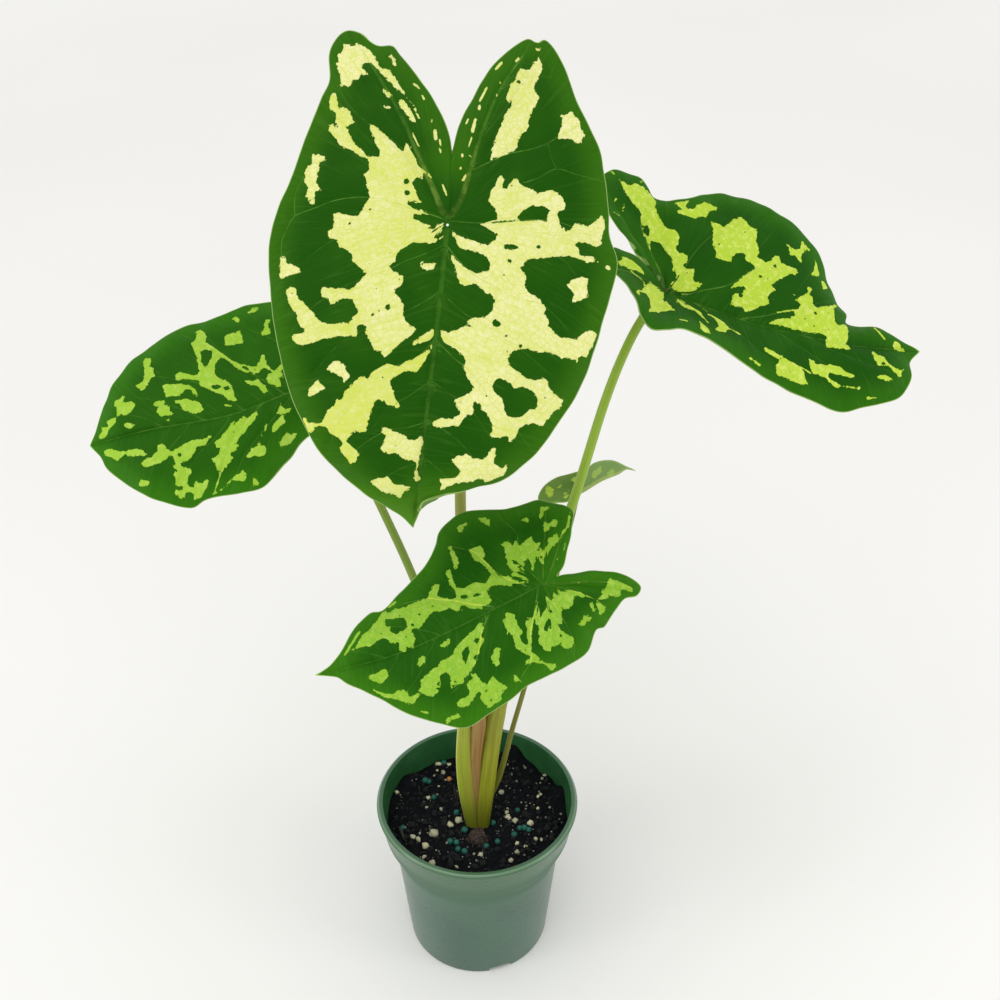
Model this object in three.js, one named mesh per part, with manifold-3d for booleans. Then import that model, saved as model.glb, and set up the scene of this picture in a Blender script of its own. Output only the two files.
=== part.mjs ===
// Potted hilo beauty caladium: five shield-shaped leaves on long stalks that stand in the soil of a green nursery pot.
// Millimetres, +Z up, the pot's axis on Z and its foot on z = 0. The viewer of the photograph stands on the -Y side.
import * as THREE from "three";
import { mergeVertices } from "three/addons/utils/BufferGeometryUtils.js";
import Module from "manifold-3d";

const wasm = await Module();
wasm.setup();

// Pot
const RIM_RADIUS = 54;
const POT_HEIGHT = 96;
const BASE_RADIUS = 38.5;
const WALL = 1.2;
const FLOOR = 1.8;
const WAIST_Z = 30;
const SHOULDER_Z = 72;
const SHOULDER_RADIUS = 45.2;
const COLLAR_Z = 77;
const COLLAR_RADIUS = 50.2;
const COLLAR_TOP_RADIUS = 52.4;
const LIP_HEIGHT = 2.4;
const POT_SIDES = 48;
const NOTCHES = 6;
const NOTCH_WIDTH = 13;
const NOTCH_HEIGHT = 3.6;
const NOTCH_DEPTH = 7;
const FIRST_NOTCH = -71;

// Soil and tuber
const SOIL_Z = 80;
const SOIL_SIDES = 40;
const SEAT_GAP = 0.35;
const HOLE_RADIUS = 10.2;
const HOLE_CENTRE = [0.8, -1.8];
const TUBER_CENTRE = [0.8, -3, 72.5];
const TUBER_HALF = [8, 9, 8];
const TUBER_RING = 0.02;

// Leaves
const BLADE_THICKNESS = 0.8;
const RIB_DEPTH = 1.4;
const VEIN_ANGLE = 60;
const ARCH_WIDTH = 30;
const COLUMNS = [0, 0.05, 0.2, 0.45, 0.74, 1];
const STALK_SIDES = 10;
const STALK_RINGS = 17;

const LEAVES = [
  {
    name: "large_front",
    origin: [-7, -30, 438.7],
    heading: -101,
    dip: 57,
    roll: 10,
    arch: 3.5,
    spacing: 8,
    midrib: [[0, 0, 0], [0, 29, 0], [0, 63, -1], [1, 93, -3], [1, 106, -8], [2, 116, -13]],
    left: [
      [1, -23, 0], [2, -30, -1], [6, -37, -2], [11, -46, -3], [18, -54, -4], [23, -60, -5], [27, -62, -5],
      [32, -61, -4], [36, -64, -5], [40, -67, -7], [45, -67, -8], [49, -65, -9], [50, -58, -8], [50, -48, -7],
      [51, -41, -7], [55, -30, -8], [60, -11, -6], [66, 7, -9], [65, 28, -8], [59, 52, -5], [52, 72, -8],
      [41, 88, -6], [31, 97, -8], [21, 103, -6], [14, 108, -7], [7, 112, -9], [2, 116, -13],
    ],
    right: [
      [1, -23, 0], [1, -31, -1], [-2, -42, -3], [-9, -56, -5], [-16, -65, -6], [-22, -71, -7], [-26, -69, -6],
      [-30, -72, -8], [-37, -62, -7], [-45, -49, -8], [-53, -35, -6], [-58, -19, -8], [-61, -3, -9],
      [-65, 9, -7], [-62, 23, -6], [-59, 38, -8], [-55, 55, -8], [-47, 71, -5], [-37, 86, -6], [-24, 95, -7],
      [-10, 100, -5], [-1, 104, -5], [0, 109, -9], [2, 116, -13],
    ],
    stalk: [
      [-3.0, -1.8, 77, 2.4, 2.4], [-3.4, -1.8, 86, 2.6, 2.6], [-5.2, -1.8, 112, 3.3, 2.9],
      [-6.2, -1.8, 140, 3.3, 3.0], [-6.2, -1, 190, 2.9, 2.8], [-5.7, 1, 292, 2.5, 2.5],
      [-5.8, 2, 360, 2.3, 2.3], [-6.2, -5, 406, 2.2, 2.2], [-6.7, -18, 430, 2.1, 2.1], [-7, -30, 438.7, 2.0, 2.0],
    ],
  },
  {
    name: "left",
    origin: [-65.4, 12, 347.8],
    heading: -172,
    dip: 14,
    roll: 40,
    arch: 3.0,
    spacing: 8,
    midrib: [[0, 0, 0], [-2, 18, 1], [-4, 44, 1], [1, 79, -2], [4, 109, -8]],
    left: [
      [1, -10, 0], [3, -18, -1], [8, -29, -3], [15, -38, -5], [23, -41, -7], [31, -36, -8], [37, -24, -7],
      [41, -8, -6], [44, 8, -6], [47, 23, -7], [46, 32, -6], [45, 43, -7], [46, 56, -7], [42, 67, -6],
      [38, 82, -7], [29, 92, -6], [20, 97, -6], [6, 106, -7], [4, 109, -8],
    ],
    right: [
      [1, -10, 0], [-2, -17, -1], [-6, -27, -3], [-12, -33, -5], [-18, -32, -7], [-21, -23, -8], [-20, -10, -8],
      [-19, 3, -8], [-21, 14, -8], [-28, 25, -9], [-36, 37, -8], [-37, 48, -8], [-36, 57, -9], [-36, 64, -9],
      [-36, 71, -10], [-30, 82, -7], [-25, 89, -6], [-18, 96, -7], [-9, 103, -7], [-2, 106, -7], [4, 109, -8],
    ],
    stalk: [
      [-3.2, 4.2, 77, 1.8, 1.8], [-3.5, 4.3, 90, 1.9, 1.9], [-6, 5.0, 140, 2.2, 2.2], [-15, 5, 190, 2.1, 2.1],
      [-29.3, 5, 243.7, 1.95, 1.95], [-45, 5, 287, 1.9, 1.9], [-58, 8, 325, 1.8, 1.8], [-65.4, 12, 347.8, 1.7, 1.7],
    ],
  },
  {
    name: "right",
    origin: [82.6, 18, 387],
    heading: -5,
    dip: 12,
    roll: -36,
    arch: 2.5,
    spacing: 8,
    midrib: [[0, 0, 0], [6, 33, 2], [7, 59, 3], [4, 86, 0], [-3, 114, -6]],
    left: [
      [-8, -10, 2], [-9, -15, 7], [-8, -22, 12], [-5, -28, 16], [3, -30, 18], [10, -23, 20], [14, -19, 22],
      [21, -15, 24], [27, -12, 25], [31, -7, 25], [30, -1, 24], [27, 5, 22], [25, 12, 20], [25, 20, 17],
      [26, 28, 14], [31, 39, 10], [35, 55, 6], [37, 69, 3], [37, 77, 1], [36, 83, 0], [33, 89, 1], [30, 96, 2],
      [25, 104, 1], [19, 108, 0], [12, 110, -1], [4, 110, -3], [-3, 114, -6],
    ],
    right: [
      [-8, -10, 2], [-12, -15, 4], [-15, -18, 5], [-21, -24, 6], [-27, -29, 6], [-36, -36, 4], [-45, -38, 1],
      [-54, -32, -2], [-55, -23, -3], [-53, -19, -3], [-50, -15, -3], [-46, -12, -3], [-45, -7, -2],
      [-47, -2, -2], [-51, 5, -4], [-56, 11, -6], [-59, 19, -7], [-59, 27, -7], [-58, 35, -6], [-55, 43, -6],
      [-53, 51, -7], [-48, 59, -8], [-41, 65, -8], [-34, 69, -8], [-25, 71, -6], [-17, 75, -6], [-13, 80, -6],
      [-9, 80, -5], [-8, 83, -5], [-9, 94, -4], [-7, 101, -4], [-5, 108, -5], [-3, 114, -6],
    ],
    stalk: [
      [3.6, -1.6, 77, 2.5, 2.5], [4.0, -1.6, 86, 2.8, 2.6], [6.4, -1.2, 112, 3.6, 2.9],
      [9.2, 0, 140, 4.0, 2.9], [14.6, 2, 172, 3.2, 2.7], [28, 4, 225, 2.6, 2.5], [44.4, 5, 284, 2.4, 2.4],
      [56.8, 8, 338, 2.3, 2.3], [66, 11, 364, 2.2, 2.2], [74.5, 14.5, 379, 2.1, 2.1], [82.6, 18, 387, 2.0, 2.0],
    ],
  },
  {
    name: "lower_front",
    origin: [30.5, -52, 285.1],
    heading: -162,
    dip: 14,
    roll: 38,
    arch: 2.5,
    spacing: 8,
    midrib: [[0, 0, 0], [-2, 23, 0], [-4, 59, -1], [-2, 82, -3], [2, 103, -7]],
    left: [
      [1, -7, 0], [5, -11, 0], [10, -16, -1], [18, -21, -3], [25, -25, -5], [29, -23, -6], [32, -20, -6],
      [36, -14, -7], [37, -8, -6], [38, 1, -6], [44, 17, -8], [43, 26, -9], [40, 32, -10], [34, 35, -8],
      [29, 42, -6], [23, 54, -6], [16, 66, -5], [17, 72, -6], [16, 78, -6], [12, 84, -6], [7, 90, -6],
      [3, 95, -6], [2, 99, -6], [2, 103, -7],
    ],
    right: [
      [1, -7, 0], [0, -13, -1], [-2, -19, -2], [-5, -29, -4], [-8, -34, -6], [-12, -38, -8], [-16, -40, -11],
      [-18, -36, -9], [-17, -31, -8], [-20, -25, -7], [-26, -18, -7], [-26, -14, -8], [-32, -7, -9],
      [-35, 4, -7], [-35, 14, -6], [-36, 23, -7], [-38, 30, -8], [-41, 42, -8], [-42, 52, -9], [-37, 62, -8],
      [-30, 71, -6], [-24, 77, -5], [-18, 82, -5], [-12, 86, -5], [-6, 91, -6], [-2, 94, -6], [0, 98, -6],
      [2, 103, -7],
    ],
    stalk: [
      [0.9, 2.8, 77, 1.6, 1.8], [0.8, 2.4, 90, 1.6, 1.9], [0.3, 0, 112, 1.5, 2.1],
      [0.6, -2.2, 140, 2.2, 2.2], [3, -8, 180, 2.0, 2.0], [12, -26, 238, 1.85, 1.85],
      [23, -43, 273, 1.7, 1.7], [30.5, -52, 285.1, 1.6, 1.6],
    ],
  },
  {
    name: "small_back",
    origin: [52, 62, 254],
    heading: 26.1,
    dip: -6.5,
    roll: 0,
    arch: 1.0,
    spacing: 5,
    midrib: [[0, 0, 0], [3, 12, 5], [3, 21, 5], [2, 28, 5], [0, 34, 0]],
    left: [
      [0, -4, -2], [2, -3, 3], [5, -1, 8], [8, 1, 14], [9, 3, 21], [10, 7, 23], [9, 15, 20], [8, 20, 16],
      [4, 27, 8], [0, 34, 0],
    ],
    right: [
      [0, -4, -2], [0, -7, -3], [-2, -11, -3], [-4, -16, -3], [-8, -19, -1], [-11, -14, 3], [-12, -6, 5],
      [-12, 2, 4], [-11, 10, 4], [-10, 17, 4], [-7, 23, 3], [-3, 28, 2], [0, 34, 0],
    ],
    stalk: [
      [4.6, 4.5, 77, 1.4, 1.5], [6, 4.7, 90, 1.5, 1.6], [11.4, 5, 110, 1.5, 1.6], [17, 6.4, 140, 1.45, 1.45],
      [24, 9, 168, 1.3, 1.3], [38, 30, 212, 1.2, 1.2], [48, 50, 243, 1.2, 1.2], [52, 62, 254, 1.1, 1.1],
    ],
  },
];

const radians = THREE.MathUtils.degToRad;
const vec = (p) => new THREE.Vector3(p[0], p[1], p[2]);
const curveOf = (points) => new THREE.CatmullRomCurve3(points.map(vec), false, "catmullrom", 0.5);
const mix = THREE.MathUtils.lerp;

// A closed geometry as a solid that can be joined and cut, and back again
function solidOf(geometry) {
  const bare = geometry.clone();
  bare.deleteAttribute("normal");
  bare.deleteAttribute("uv");
  const merged = mergeVertices(bare, 1e-4);
  const shape = new wasm.Mesh({
    numProp: 3,
    vertProperties: merged.attributes.position.array,
    triVerts: new Uint32Array(merged.index.array),
  });
  return new wasm.Manifold(shape);
}

function geometryOf(solid) {
  const shape = solid.getMesh();
  const geometry = new THREE.BufferGeometry();
  const count = shape.numVert;
  const positions = new Float32Array(count * 3);
  for (let i = 0; i < count; i++) {
    positions.set(shape.vertProperties.subarray(i * shape.numProp, i * shape.numProp + 3), i * 3);
  }
  geometry.setAttribute("position", new THREE.BufferAttribute(positions, 3));
  geometry.setIndex(new THREE.BufferAttribute(shape.triVerts, 1));
  return geometry;
}

function geometryFrom(points, faces) {
  const geometry = new THREE.BufferGeometry().setFromPoints(points);
  geometry.setIndex(faces.flat());
  return geometry;
}

// A turned shape about Z: its profile holds [radius, z] points, up the outside and back down inside to the axis
function turned(profile, sides) {
  const points = profile.map(([radius, z]) => new THREE.Vector2(radius, z));
  return new THREE.LatheGeometry(points, sides).rotateX(Math.PI / 2);
}

// Outside radius of the pot's wall at a height
function potRadius(z) {
  if (z <= SHOULDER_Z) return mix(BASE_RADIUS, SHOULDER_RADIUS, z / SHOULDER_Z);
  if (z <= COLLAR_Z) return mix(SHOULDER_RADIUS, COLLAR_RADIUS, (z - SHOULDER_Z) / (COLLAR_Z - SHOULDER_Z));
  return mix(COLLAR_RADIUS, COLLAR_TOP_RADIUS, (z - COLLAR_Z) / (POT_HEIGHT - LIP_HEIGHT - COLLAR_Z));
}

function potGeometry() {
  const lip = POT_HEIGHT - LIP_HEIGHT;
  const inner = COLLAR_TOP_RADIUS - WALL;
  const profile = [
    [0, 0],
    [BASE_RADIUS - 1.5, 0],
    [BASE_RADIUS, 1.5],
    [potRadius(WAIST_Z), WAIST_Z],
    [SHOULDER_RADIUS, SHOULDER_Z],
    [COLLAR_RADIUS, COLLAR_Z],
    [COLLAR_TOP_RADIUS, lip],
    [RIM_RADIUS - 0.4, lip],
    [RIM_RADIUS, lip + 0.5],
    [RIM_RADIUS, POT_HEIGHT - 0.8],
    [RIM_RADIUS - 0.7, POT_HEIGHT],
    [inner + 0.7, POT_HEIGHT],
    [inner, POT_HEIGHT - 0.8],
    [COLLAR_RADIUS - WALL, COLLAR_Z],
    [SHOULDER_RADIUS - WALL, SHOULDER_Z],
    [potRadius(WAIST_Z) - WALL, WAIST_Z],
    [BASE_RADIUS - WALL - 0.4, FLOOR],
    [0, FLOOR],
  ];
  let made = solidOf(turned(profile, POT_SIDES));
  for (let i = 0; i < NOTCHES; i++) {
    const notch = new THREE.BoxGeometry(NOTCH_DEPTH + 6, NOTCH_WIDTH, 2 * NOTCH_HEIGHT)
      .translate(BASE_RADIUS + 3 - NOTCH_DEPTH / 2, 0, 0)
      .rotateZ(radians(FIRST_NOTCH + (360 * i) / NOTCHES));
    made = made.subtract(solidOf(notch));
  }
  return geometryOf(made);
}

// The top of the soil: low, uneven waves that sink a little towards the wall
function soilHeight(x, y) {
  const waves = Math.sin(x * 0.21 + 1.3) * Math.cos(y * 0.17 - 0.4) + 0.6 * Math.sin(x * 0.43 - y * 0.37 + 2.1);
  return SOIL_Z + 0.5 + 0.66 * waves - 1.2 * Math.max(0, (Math.hypot(x, y) - 30) / 20);
}

function soilGeometry() {
  const inset = WALL + SEAT_GAP;
  const floor = FLOOR + SEAT_GAP;
  const top = [potRadius(SOIL_Z) - inset, 44, 38, 32, 25, 18, 12, 6, 0];
  const profile = [
    [0, floor],
    [potRadius(floor) - inset - 0.6, floor],
    [potRadius(WAIST_Z) - inset, WAIST_Z],
    [SHOULDER_RADIUS - inset, SHOULDER_Z + 0.3],
    [COLLAR_RADIUS - inset, COLLAR_Z + 0.3],
    ...top.map((radius) => [radius, SOIL_Z]),
  ];
  const geometry = turned(profile, SOIL_SIDES);
  const position = geometry.attributes.position;
  for (let i = 0; i < position.count; i++) {
    if (position.getZ(i) > SOIL_Z - 0.5) position.setZ(i, soilHeight(position.getX(i), position.getY(i)));
  }
  const depth = 40;
  const foot = TUBER_CENTRE[2] - TUBER_HALF[2] - SEAT_GAP;
  const hole = new THREE.CylinderGeometry(HOLE_RADIUS, HOLE_RADIUS, depth, 24)
    .rotateX(Math.PI / 2)
    .translate(HOLE_CENTRE[0], HOLE_CENTRE[1], foot + depth / 2);
  return geometryOf(solidOf(geometry).subtract(solidOf(hole)));
}

// A rounded lump with shallow rings round it, grown all over by a clearance
function tuberGeometry(clearance) {
  const rows = 12;
  const profile = [];
  for (let i = 0; i <= rows; i++) {
    const a = -Math.PI / 2 + (Math.PI * i) / rows;
    const ring = i > 1 && i < rows - 1 ? 1 + (i % 2 ? TUBER_RING : -TUBER_RING) : 1;
    profile.push([i % rows ? Math.cos(a) * ring : 0, Math.sin(a)]);
  }
  return turned(profile, 20)
    .scale(...TUBER_HALF.map((half) => half + clearance))
    .translate(...TUBER_CENTRE);
}

// A leaf's own axes: x across the face, y along the midrib, z out of the upper face
function axesOf(leaf) {
  const h = radians(leaf.heading);
  const d = radians(leaf.dip);
  const r = radians(leaf.roll);
  const along = new THREE.Vector3(Math.cos(h) * Math.cos(d), Math.sin(h) * Math.cos(d), -Math.sin(d));
  const level = new THREE.Vector3(Math.sin(h), -Math.cos(h), 0);
  const up = new THREE.Vector3().crossVectors(level, along);
  const across = level.clone().multiplyScalar(Math.cos(r)).addScaledVector(up, Math.sin(r));
  const face = up.clone().multiplyScalar(Math.cos(r)).addScaledVector(level, -Math.sin(r));
  return new THREE.Matrix4().makeBasis(across, along, face).setPosition(vec(leaf.origin));
}

// The share of the midrib at which the vein that ends at a margin point leaves it
function footShare(p, tip) {
  const share = (p.y - Math.abs(p.x) / Math.tan(radians(VEIN_ANGLE))) / tip.y;
  return THREE.MathUtils.clamp(share, 0, 1);
}

// Stops along a margin, as the curve's own parameter: its drawn points, and more where they lie far apart
function divide(curve, from, to, spacing, count) {
  const last = curve.points.length - 1;
  const stops = [from];
  for (let i = 0; i <= last; i++) {
    if (i > from * last + 0.2 && i < to * last - 0.2) stops.push(i / last);
  }
  stops.push(to);
  const length = (i) => curve.getPoint(stops[i]).distanceTo(curve.getPoint(stops[i + 1]));
  for (;;) {
    let widest = 0;
    for (let i = 1; i + 1 < stops.length; i++) {
      if (length(i) > length(widest)) widest = i;
    }
    if (count ? stops.length > count : length(widest) < spacing) return stops;
    stops.splice(widest + 1, 0, (stops[widest] + stops[widest + 1]) / 2);
  }
}

// Where a margin's veins stop fanning out from the leaf's centre and start to leave the midrib
function fanEnd(curve, tip) {
  const steps = 400;
  let end = 0;
  for (let i = 0; i <= steps; i++) {
    if (footShare(curve.getPoint(i / steps), tip) <= 0) end = i / steps;
  }
  return end;
}

function bladeGeometry(leaf) {
  const midrib = curveOf(leaf.midrib);
  const tip = vec(leaf.midrib[leaf.midrib.length - 1]);
  const sides = [leaf.left, leaf.right].map((margin) => {
    const curve = curveOf(margin);
    const start = fanEnd(curve, tip);
    return { curve, start, fan: divide(curve, 0, start, leaf.spacing), rest: divide(curve, start, 1, leaf.spacing) };
  });
  const count = Math.max(...sides.map((side) => side.rest.length - 1));
  for (const side of sides) side.rest = divide(side.curve, side.start, 1, 0, count);
  const shares = [0];
  for (let j = 1; j < count; j++) {
    const [a, b] = sides.map((side) => footShare(side.curve.getPoint(side.rest[j]), tip));
    shares.push(Math.max((a + b) / 2, shares[j - 1] + 0.004));
  }
  shares.push(1);

  const top = [];
  const faces = [];
  const add = (p) => top.push(p) - 1;
  const feet = shares.map((share) => add(midrib.getPoint(share)));
  const end = feet[count];
  const row = (foot, edge) => {
    const from = top[foot];
    const lift = leaf.arch * Math.min(1, Math.hypot(edge.x - from.x, edge.y - from.y) / ARCH_WIDTH);
    return COLUMNS.map((s) => {
      if (s === 0) return foot;
      const p = from.clone().lerp(edge, s);
      p.z += lift * 4 * s * (1 - s);
      return add(p);
    });
  };
  const seam = row(feet[0], sides[0].curve.getPoint(0));
  const edges = sides.map((side, which) => {
    const rows = [seam];
    for (const t of side.fan.slice(1)) rows.push(row(feet[0], side.curve.getPoint(t)));
    side.rest.slice(1, -1).forEach((t, j) => rows.push(row(feet[j + 1], side.curve.getPoint(t))));
    rows.push(COLUMNS.map(() => end));
    const put = (a, b, c) => {
      if (a === b || b === c || a === c) return;
      faces.push(which ? [a, c, b] : [a, b, c]);
    };
    for (let i = 0; i + 1 < rows.length; i++) {
      for (let k = 0; k + 1 < COLUMNS.length; k++) {
        put(rows[i][k], rows[i][k + 1], rows[i + 1][k + 1]);
        put(rows[i][k], rows[i + 1][k + 1], rows[i + 1][k]);
      }
    }
    const edge = rows.map((cells) => cells[COLUMNS.length - 1]);
    return which ? edge.reverse() : edge;
  });

  // Both faces have the same triangles, with each vertex moved out along the surface's direction there.
  const normals = top.map(() => new THREE.Vector3());
  for (const [a, b, c] of faces) {
    const ab = new THREE.Vector3().subVectors(top[b], top[a]);
    const n = ab.cross(new THREE.Vector3().subVectors(top[c], top[a]));
    for (const i of [a, b, c]) normals[i].add(n);
  }
  const half = BLADE_THICKNESS / 2;
  const size = top.length;
  const ribbed = new Set(feet.slice(0, -1));
  const points = top.map((p, i) => p.clone().addScaledVector(normals[i].normalize(), half));
  top.forEach((p, i) => points.push(p.clone().addScaledVector(normals[i], -half - (ribbed.has(i) ? RIB_DEPTH : 0))));
  const all = [...faces, ...faces.map(([a, b, c]) => [a + size, c + size, b + size])];
  const loop = [...edges[0], ...edges[1].slice(1, -1)];
  loop.forEach((a, i) => {
    const b = loop[(i + 1) % loop.length];
    all.push([a, a + size, b + size], [a, b + size, b]);
  });
  return geometryFrom(points, all);
}

// A tapering stalk along its drawn points [x, y, z, half width, half depth], from the tuber to just under the blade
function stalkGeometry(leaf) {
  const centres = curveOf(leaf.stalk);
  const halves = curveOf(leaf.stalk.map((p) => [p[3], p[4], 0]));
  const points = [];
  const faces = [];
  const side = new THREE.Vector3(1, 0, 0);
  for (let i = 0; i <= STALK_RINGS; i++) {
    const t = i / STALK_RINGS;
    const centre = centres.getPoint(t);
    const half = halves.getPoint(t);
    const along = centres.getTangent(t);
    side.addScaledVector(along, -side.dot(along)).normalize();
    const other = new THREE.Vector3().crossVectors(along, side);
    for (let k = 0; k < STALK_SIDES; k++) {
      const turn = (2 * Math.PI * k) / STALK_SIDES;
      const p = centre.clone().addScaledVector(side, half.x * Math.cos(turn));
      points.push(p.addScaledVector(other, half.y * Math.sin(turn)));
    }
  }
  for (let i = 0; i < STALK_RINGS; i++) {
    for (let k = 0; k < STALK_SIDES; k++) {
      const a = i * STALK_SIDES + k;
      const b = i * STALK_SIDES + ((k + 1) % STALK_SIDES);
      faces.push([a, b, b + STALK_SIDES], [a, b + STALK_SIDES, a + STALK_SIDES]);
    }
  }
  const last = STALK_RINGS * STALK_SIDES;
  for (let k = 1; k + 1 < STALK_SIDES; k++) faces.push([0, k + 1, k], [last, last + k, last + k + 1]);
  const reach = 40;
  const drop = BLADE_THICKNESS / 2 + RIB_DEPTH + SEAT_GAP;
  const above = new THREE.BoxGeometry(reach, reach, reach).translate(0, 0, reach / 2 - drop).applyMatrix4(axesOf(leaf));
  const made = solidOf(geometryFrom(points, faces)).subtract(solidOf(above));
  return geometryOf(made.subtract(solidOf(tuberGeometry(SEAT_GAP))));
}

function meshOf(name, geometry, colour, roughness) {
  const material = new THREE.MeshStandardMaterial({ color: colour, roughness, metalness: 0 });
  const mesh = new THREE.Mesh(geometry, material);
  mesh.name = name;
  return mesh;
}

const plant = new THREE.Group();
plant.add(meshOf("pot", potGeometry(), 0x5d7568, 0.45));
plant.add(meshOf("soil", soilGeometry(), 0x15171a, 1));
plant.add(meshOf("tuber", tuberGeometry(0), 0x5b4130, 0.9));
for (const leaf of LEAVES) {
  const blade = meshOf("blade_" + leaf.name, bladeGeometry(leaf), 0x23601a, 0.45);
  axesOf(leaf).decompose(blade.position, blade.quaternion, blade.scale);
  plant.add(meshOf("stalk_" + leaf.name, stalkGeometry(leaf), 0x8ea32c, 0.5));
  plant.add(blade);
}

export default plant;
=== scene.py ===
# Potted hilo beauty caladium: five marked, shield-shaped leaves on long stalks in the soil of a green
# nursery pot. Sizes and places are millimetres in the part's own frame, and become metres where a mesh is
# made. Angles are degrees.
import math
import random

import bmesh
import bpy
import numpy as np
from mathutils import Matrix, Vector, noise


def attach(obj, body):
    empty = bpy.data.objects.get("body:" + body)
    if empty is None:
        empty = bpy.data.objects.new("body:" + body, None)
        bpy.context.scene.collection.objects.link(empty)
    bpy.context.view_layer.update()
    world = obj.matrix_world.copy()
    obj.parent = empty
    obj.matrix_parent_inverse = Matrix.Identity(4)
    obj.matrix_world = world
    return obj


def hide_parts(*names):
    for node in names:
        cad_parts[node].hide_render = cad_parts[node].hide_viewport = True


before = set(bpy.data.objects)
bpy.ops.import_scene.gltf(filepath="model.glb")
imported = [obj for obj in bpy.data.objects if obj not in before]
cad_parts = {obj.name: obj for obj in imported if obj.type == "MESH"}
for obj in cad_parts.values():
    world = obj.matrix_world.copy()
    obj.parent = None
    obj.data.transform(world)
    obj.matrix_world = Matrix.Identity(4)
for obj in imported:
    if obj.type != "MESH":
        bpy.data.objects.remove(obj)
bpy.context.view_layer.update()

MM = 0.001
FAR = 1e9

# Camera and room
CAMERA_PLACE = (12.3, -485.0, 627.0)
CAMERA_PITCH = 34.6
CAMERA_LENS = 46.8
FLOOR_HALF = 4000.0
AIR_LIGHT = 0.74
SUN_STRENGTH = 0.8
SUN_SPREAD = 50.0
SUN_WAY = (0.22, 0.45, -1.0)
# Two soft panels, in metres: where each stands, what both face, and their width and height
PANELS = {"left_panel": (-1.0, -0.45, 0.4), "right_panel": (1.0, -0.35, 0.4)}
PANEL_AIM = (0.0, 0.0, 0.08)
PANEL_SIZE = (0.35, 0.9)
PANEL_POWER = 2.1

# Pot
FOOT_RECESS = 0.9
FOOT_RING = 4.0
SHOULDER_ROUNDING = 4.0
CORNER_ROUNDING = 0.75
RIM_RADIUS = 54.0
POT_HEIGHT = 98.9
BASE_RADIUS = 38.7
WALL = 1.2
POT_FLOOR = 1.8
WAIST_Z = 30.0
SHOULDER_Z = 70.5
SHOULDER_RADIUS = 45.1
COLLAR_Z = 79.5
COLLAR_RADIUS = 50.5
COLLAR_TOP_RADIUS = 52.4
LIP_HEIGHT = 2.9
LIP_TOP_RADIUS = 52.6
MOUTH_RADIUS = 50.6
POT_SIDES = 192
NOTCHES = 3
NOTCH_WIDTH = 13.0
NOTCH_HEIGHT = 3.6
NOTCH_DEPTH = 7.0
FIRST_NOTCH = -71.0
NOTCH_LEAN = 0.6
NOTCH_ARCH_START = 0.72
NOTCH_ARCH_STEPS = 10
SHARP_EDGE = 38.0

# Soil and tuber
SOIL_Z = 80.0
SOIL_GAP = 0.35
SOIL_CELLS = 150
# Heaps that lean on the pot's wall: (x, y, height, reach)
SOIL_HEAPS = [
    (20, 46.5, 12.5, 6.5), (29, 41, 3.5, 8), (41, 28, 4, 7), (47.5, 16, 9, 5.5), (-42, 27, 6, 9),
    (-48.5, 12, 4, 8),
]
SOIL_WAVE = 0.66
# Beyond this radius the soil falls a little towards the wall
SOIL_LEVEL_REACH = 30.0
SOIL_FALL = 1.2
# The soil dips round the stalks: (x, y, depth, reach)
STALKS_DIP = (0.8, -3.0, 1.3, 9.0)
GRAIN_MARGIN = 2.5
STALKS_CLEARING = (0.8, -1.8, 11.0)
SMALL_PERLITE = 210
SMALL_PERLITE_RADII = (0.25, 0.3, 0.4, 0.5, 0.7)
PERLITE_SHARE = 0.9
BEAD_RADII = (1.5, 1.8)
RUSTY_RADIUS = 1.4
CLODS = 420
CLOD_RADII = (0.5, 1.7)
# How deep grains sit in the soil, as a share of their height
SUNK = 0.3
SMALL_SUNK = 0.35
BEAD_SUNK = 0.25
CLOD_SUNK = 0.45
# Grains above this radius are pale, smaller ones darker
PALE_GRAIN_RADIUS = 0.88
BITS = 36
CROWN_FIBRES = 70
TUBER_CENTRE = (0.8, -3.0, 72.5)
TUBER_HALF = (8.0, 9.0, 8.0)
KNOB_CENTRE = (0.2, -11.5, 79.6)
KNOB_HALF = (4.9, 5.2, 2.4)

# Leaves
BLADE_THICKNESS = 0.6
RIM_THICKNESS = 0.3
RIB_DEPTH = 1.4
VEIN_ANGLE = 60.0
ARCH_WIDTH = 30.0
ROW_PITCH = 1.0
COLUMN_PITCH = 0.95
CURVE_STEPS = 2001
MARGIN_STEPS = 401
FEWEST_COLUMNS = 14
# The small leaf is built closer and with less relief than the others
SMALL_LEAF = "small_back"
SMALL_PITCH = 0.6
SMALL_RELIEF = 0.5
# Relief: the swelling between veins, the width of the valleys at them, and the ripple, stronger at the rim
QUILT_HEIGHT = 0.5
QUILT_SINK = 0.3
QUILT_RIM = 6.0
VALLEY_WIDTH = 1.6
RIPPLE_PITCH = 9.0
RIPPLE_HEIGHT = 0.35
RIM_RIPPLE_HEIGHT = 0.75
RIM_RIPPLE_REACH = 7.0
# Ribs that stand out of the underside, and the groove along the upper face's midrib
RIB_WIDTH = 1.1
SIDE_RIB_DEPTH = 1.5
SIDE_RIB_WIDTH = 0.8
GROOVE_DEPTH = 0.25
GROOVE_WIDTH = 0.7
RIM_FADE = 3.0
# A drawn vein's narrowing towards its end, the pieces that each stretch of it is cut into, and how far
# beside it its line fades out
VEIN_TAPER = 0.65
VEIN_PIECES = 6
VEIN_FADE = 0.9
# How ragged the edges of strokes, gaps and dots are next to those of blotches
STROKE_FRAY = 0.4
GAP_FRAY = 0.7
DOT_FRAY = 0.4
STALK_SIDES = 40
STALK_PITCH = 1.3
# Ridges that run along a stalk: (height as a share of its radius, how many round it, way they are turned)
STALK_RIDGES = ((0.012, 13, 1), (0.008, 22, -1))
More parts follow.
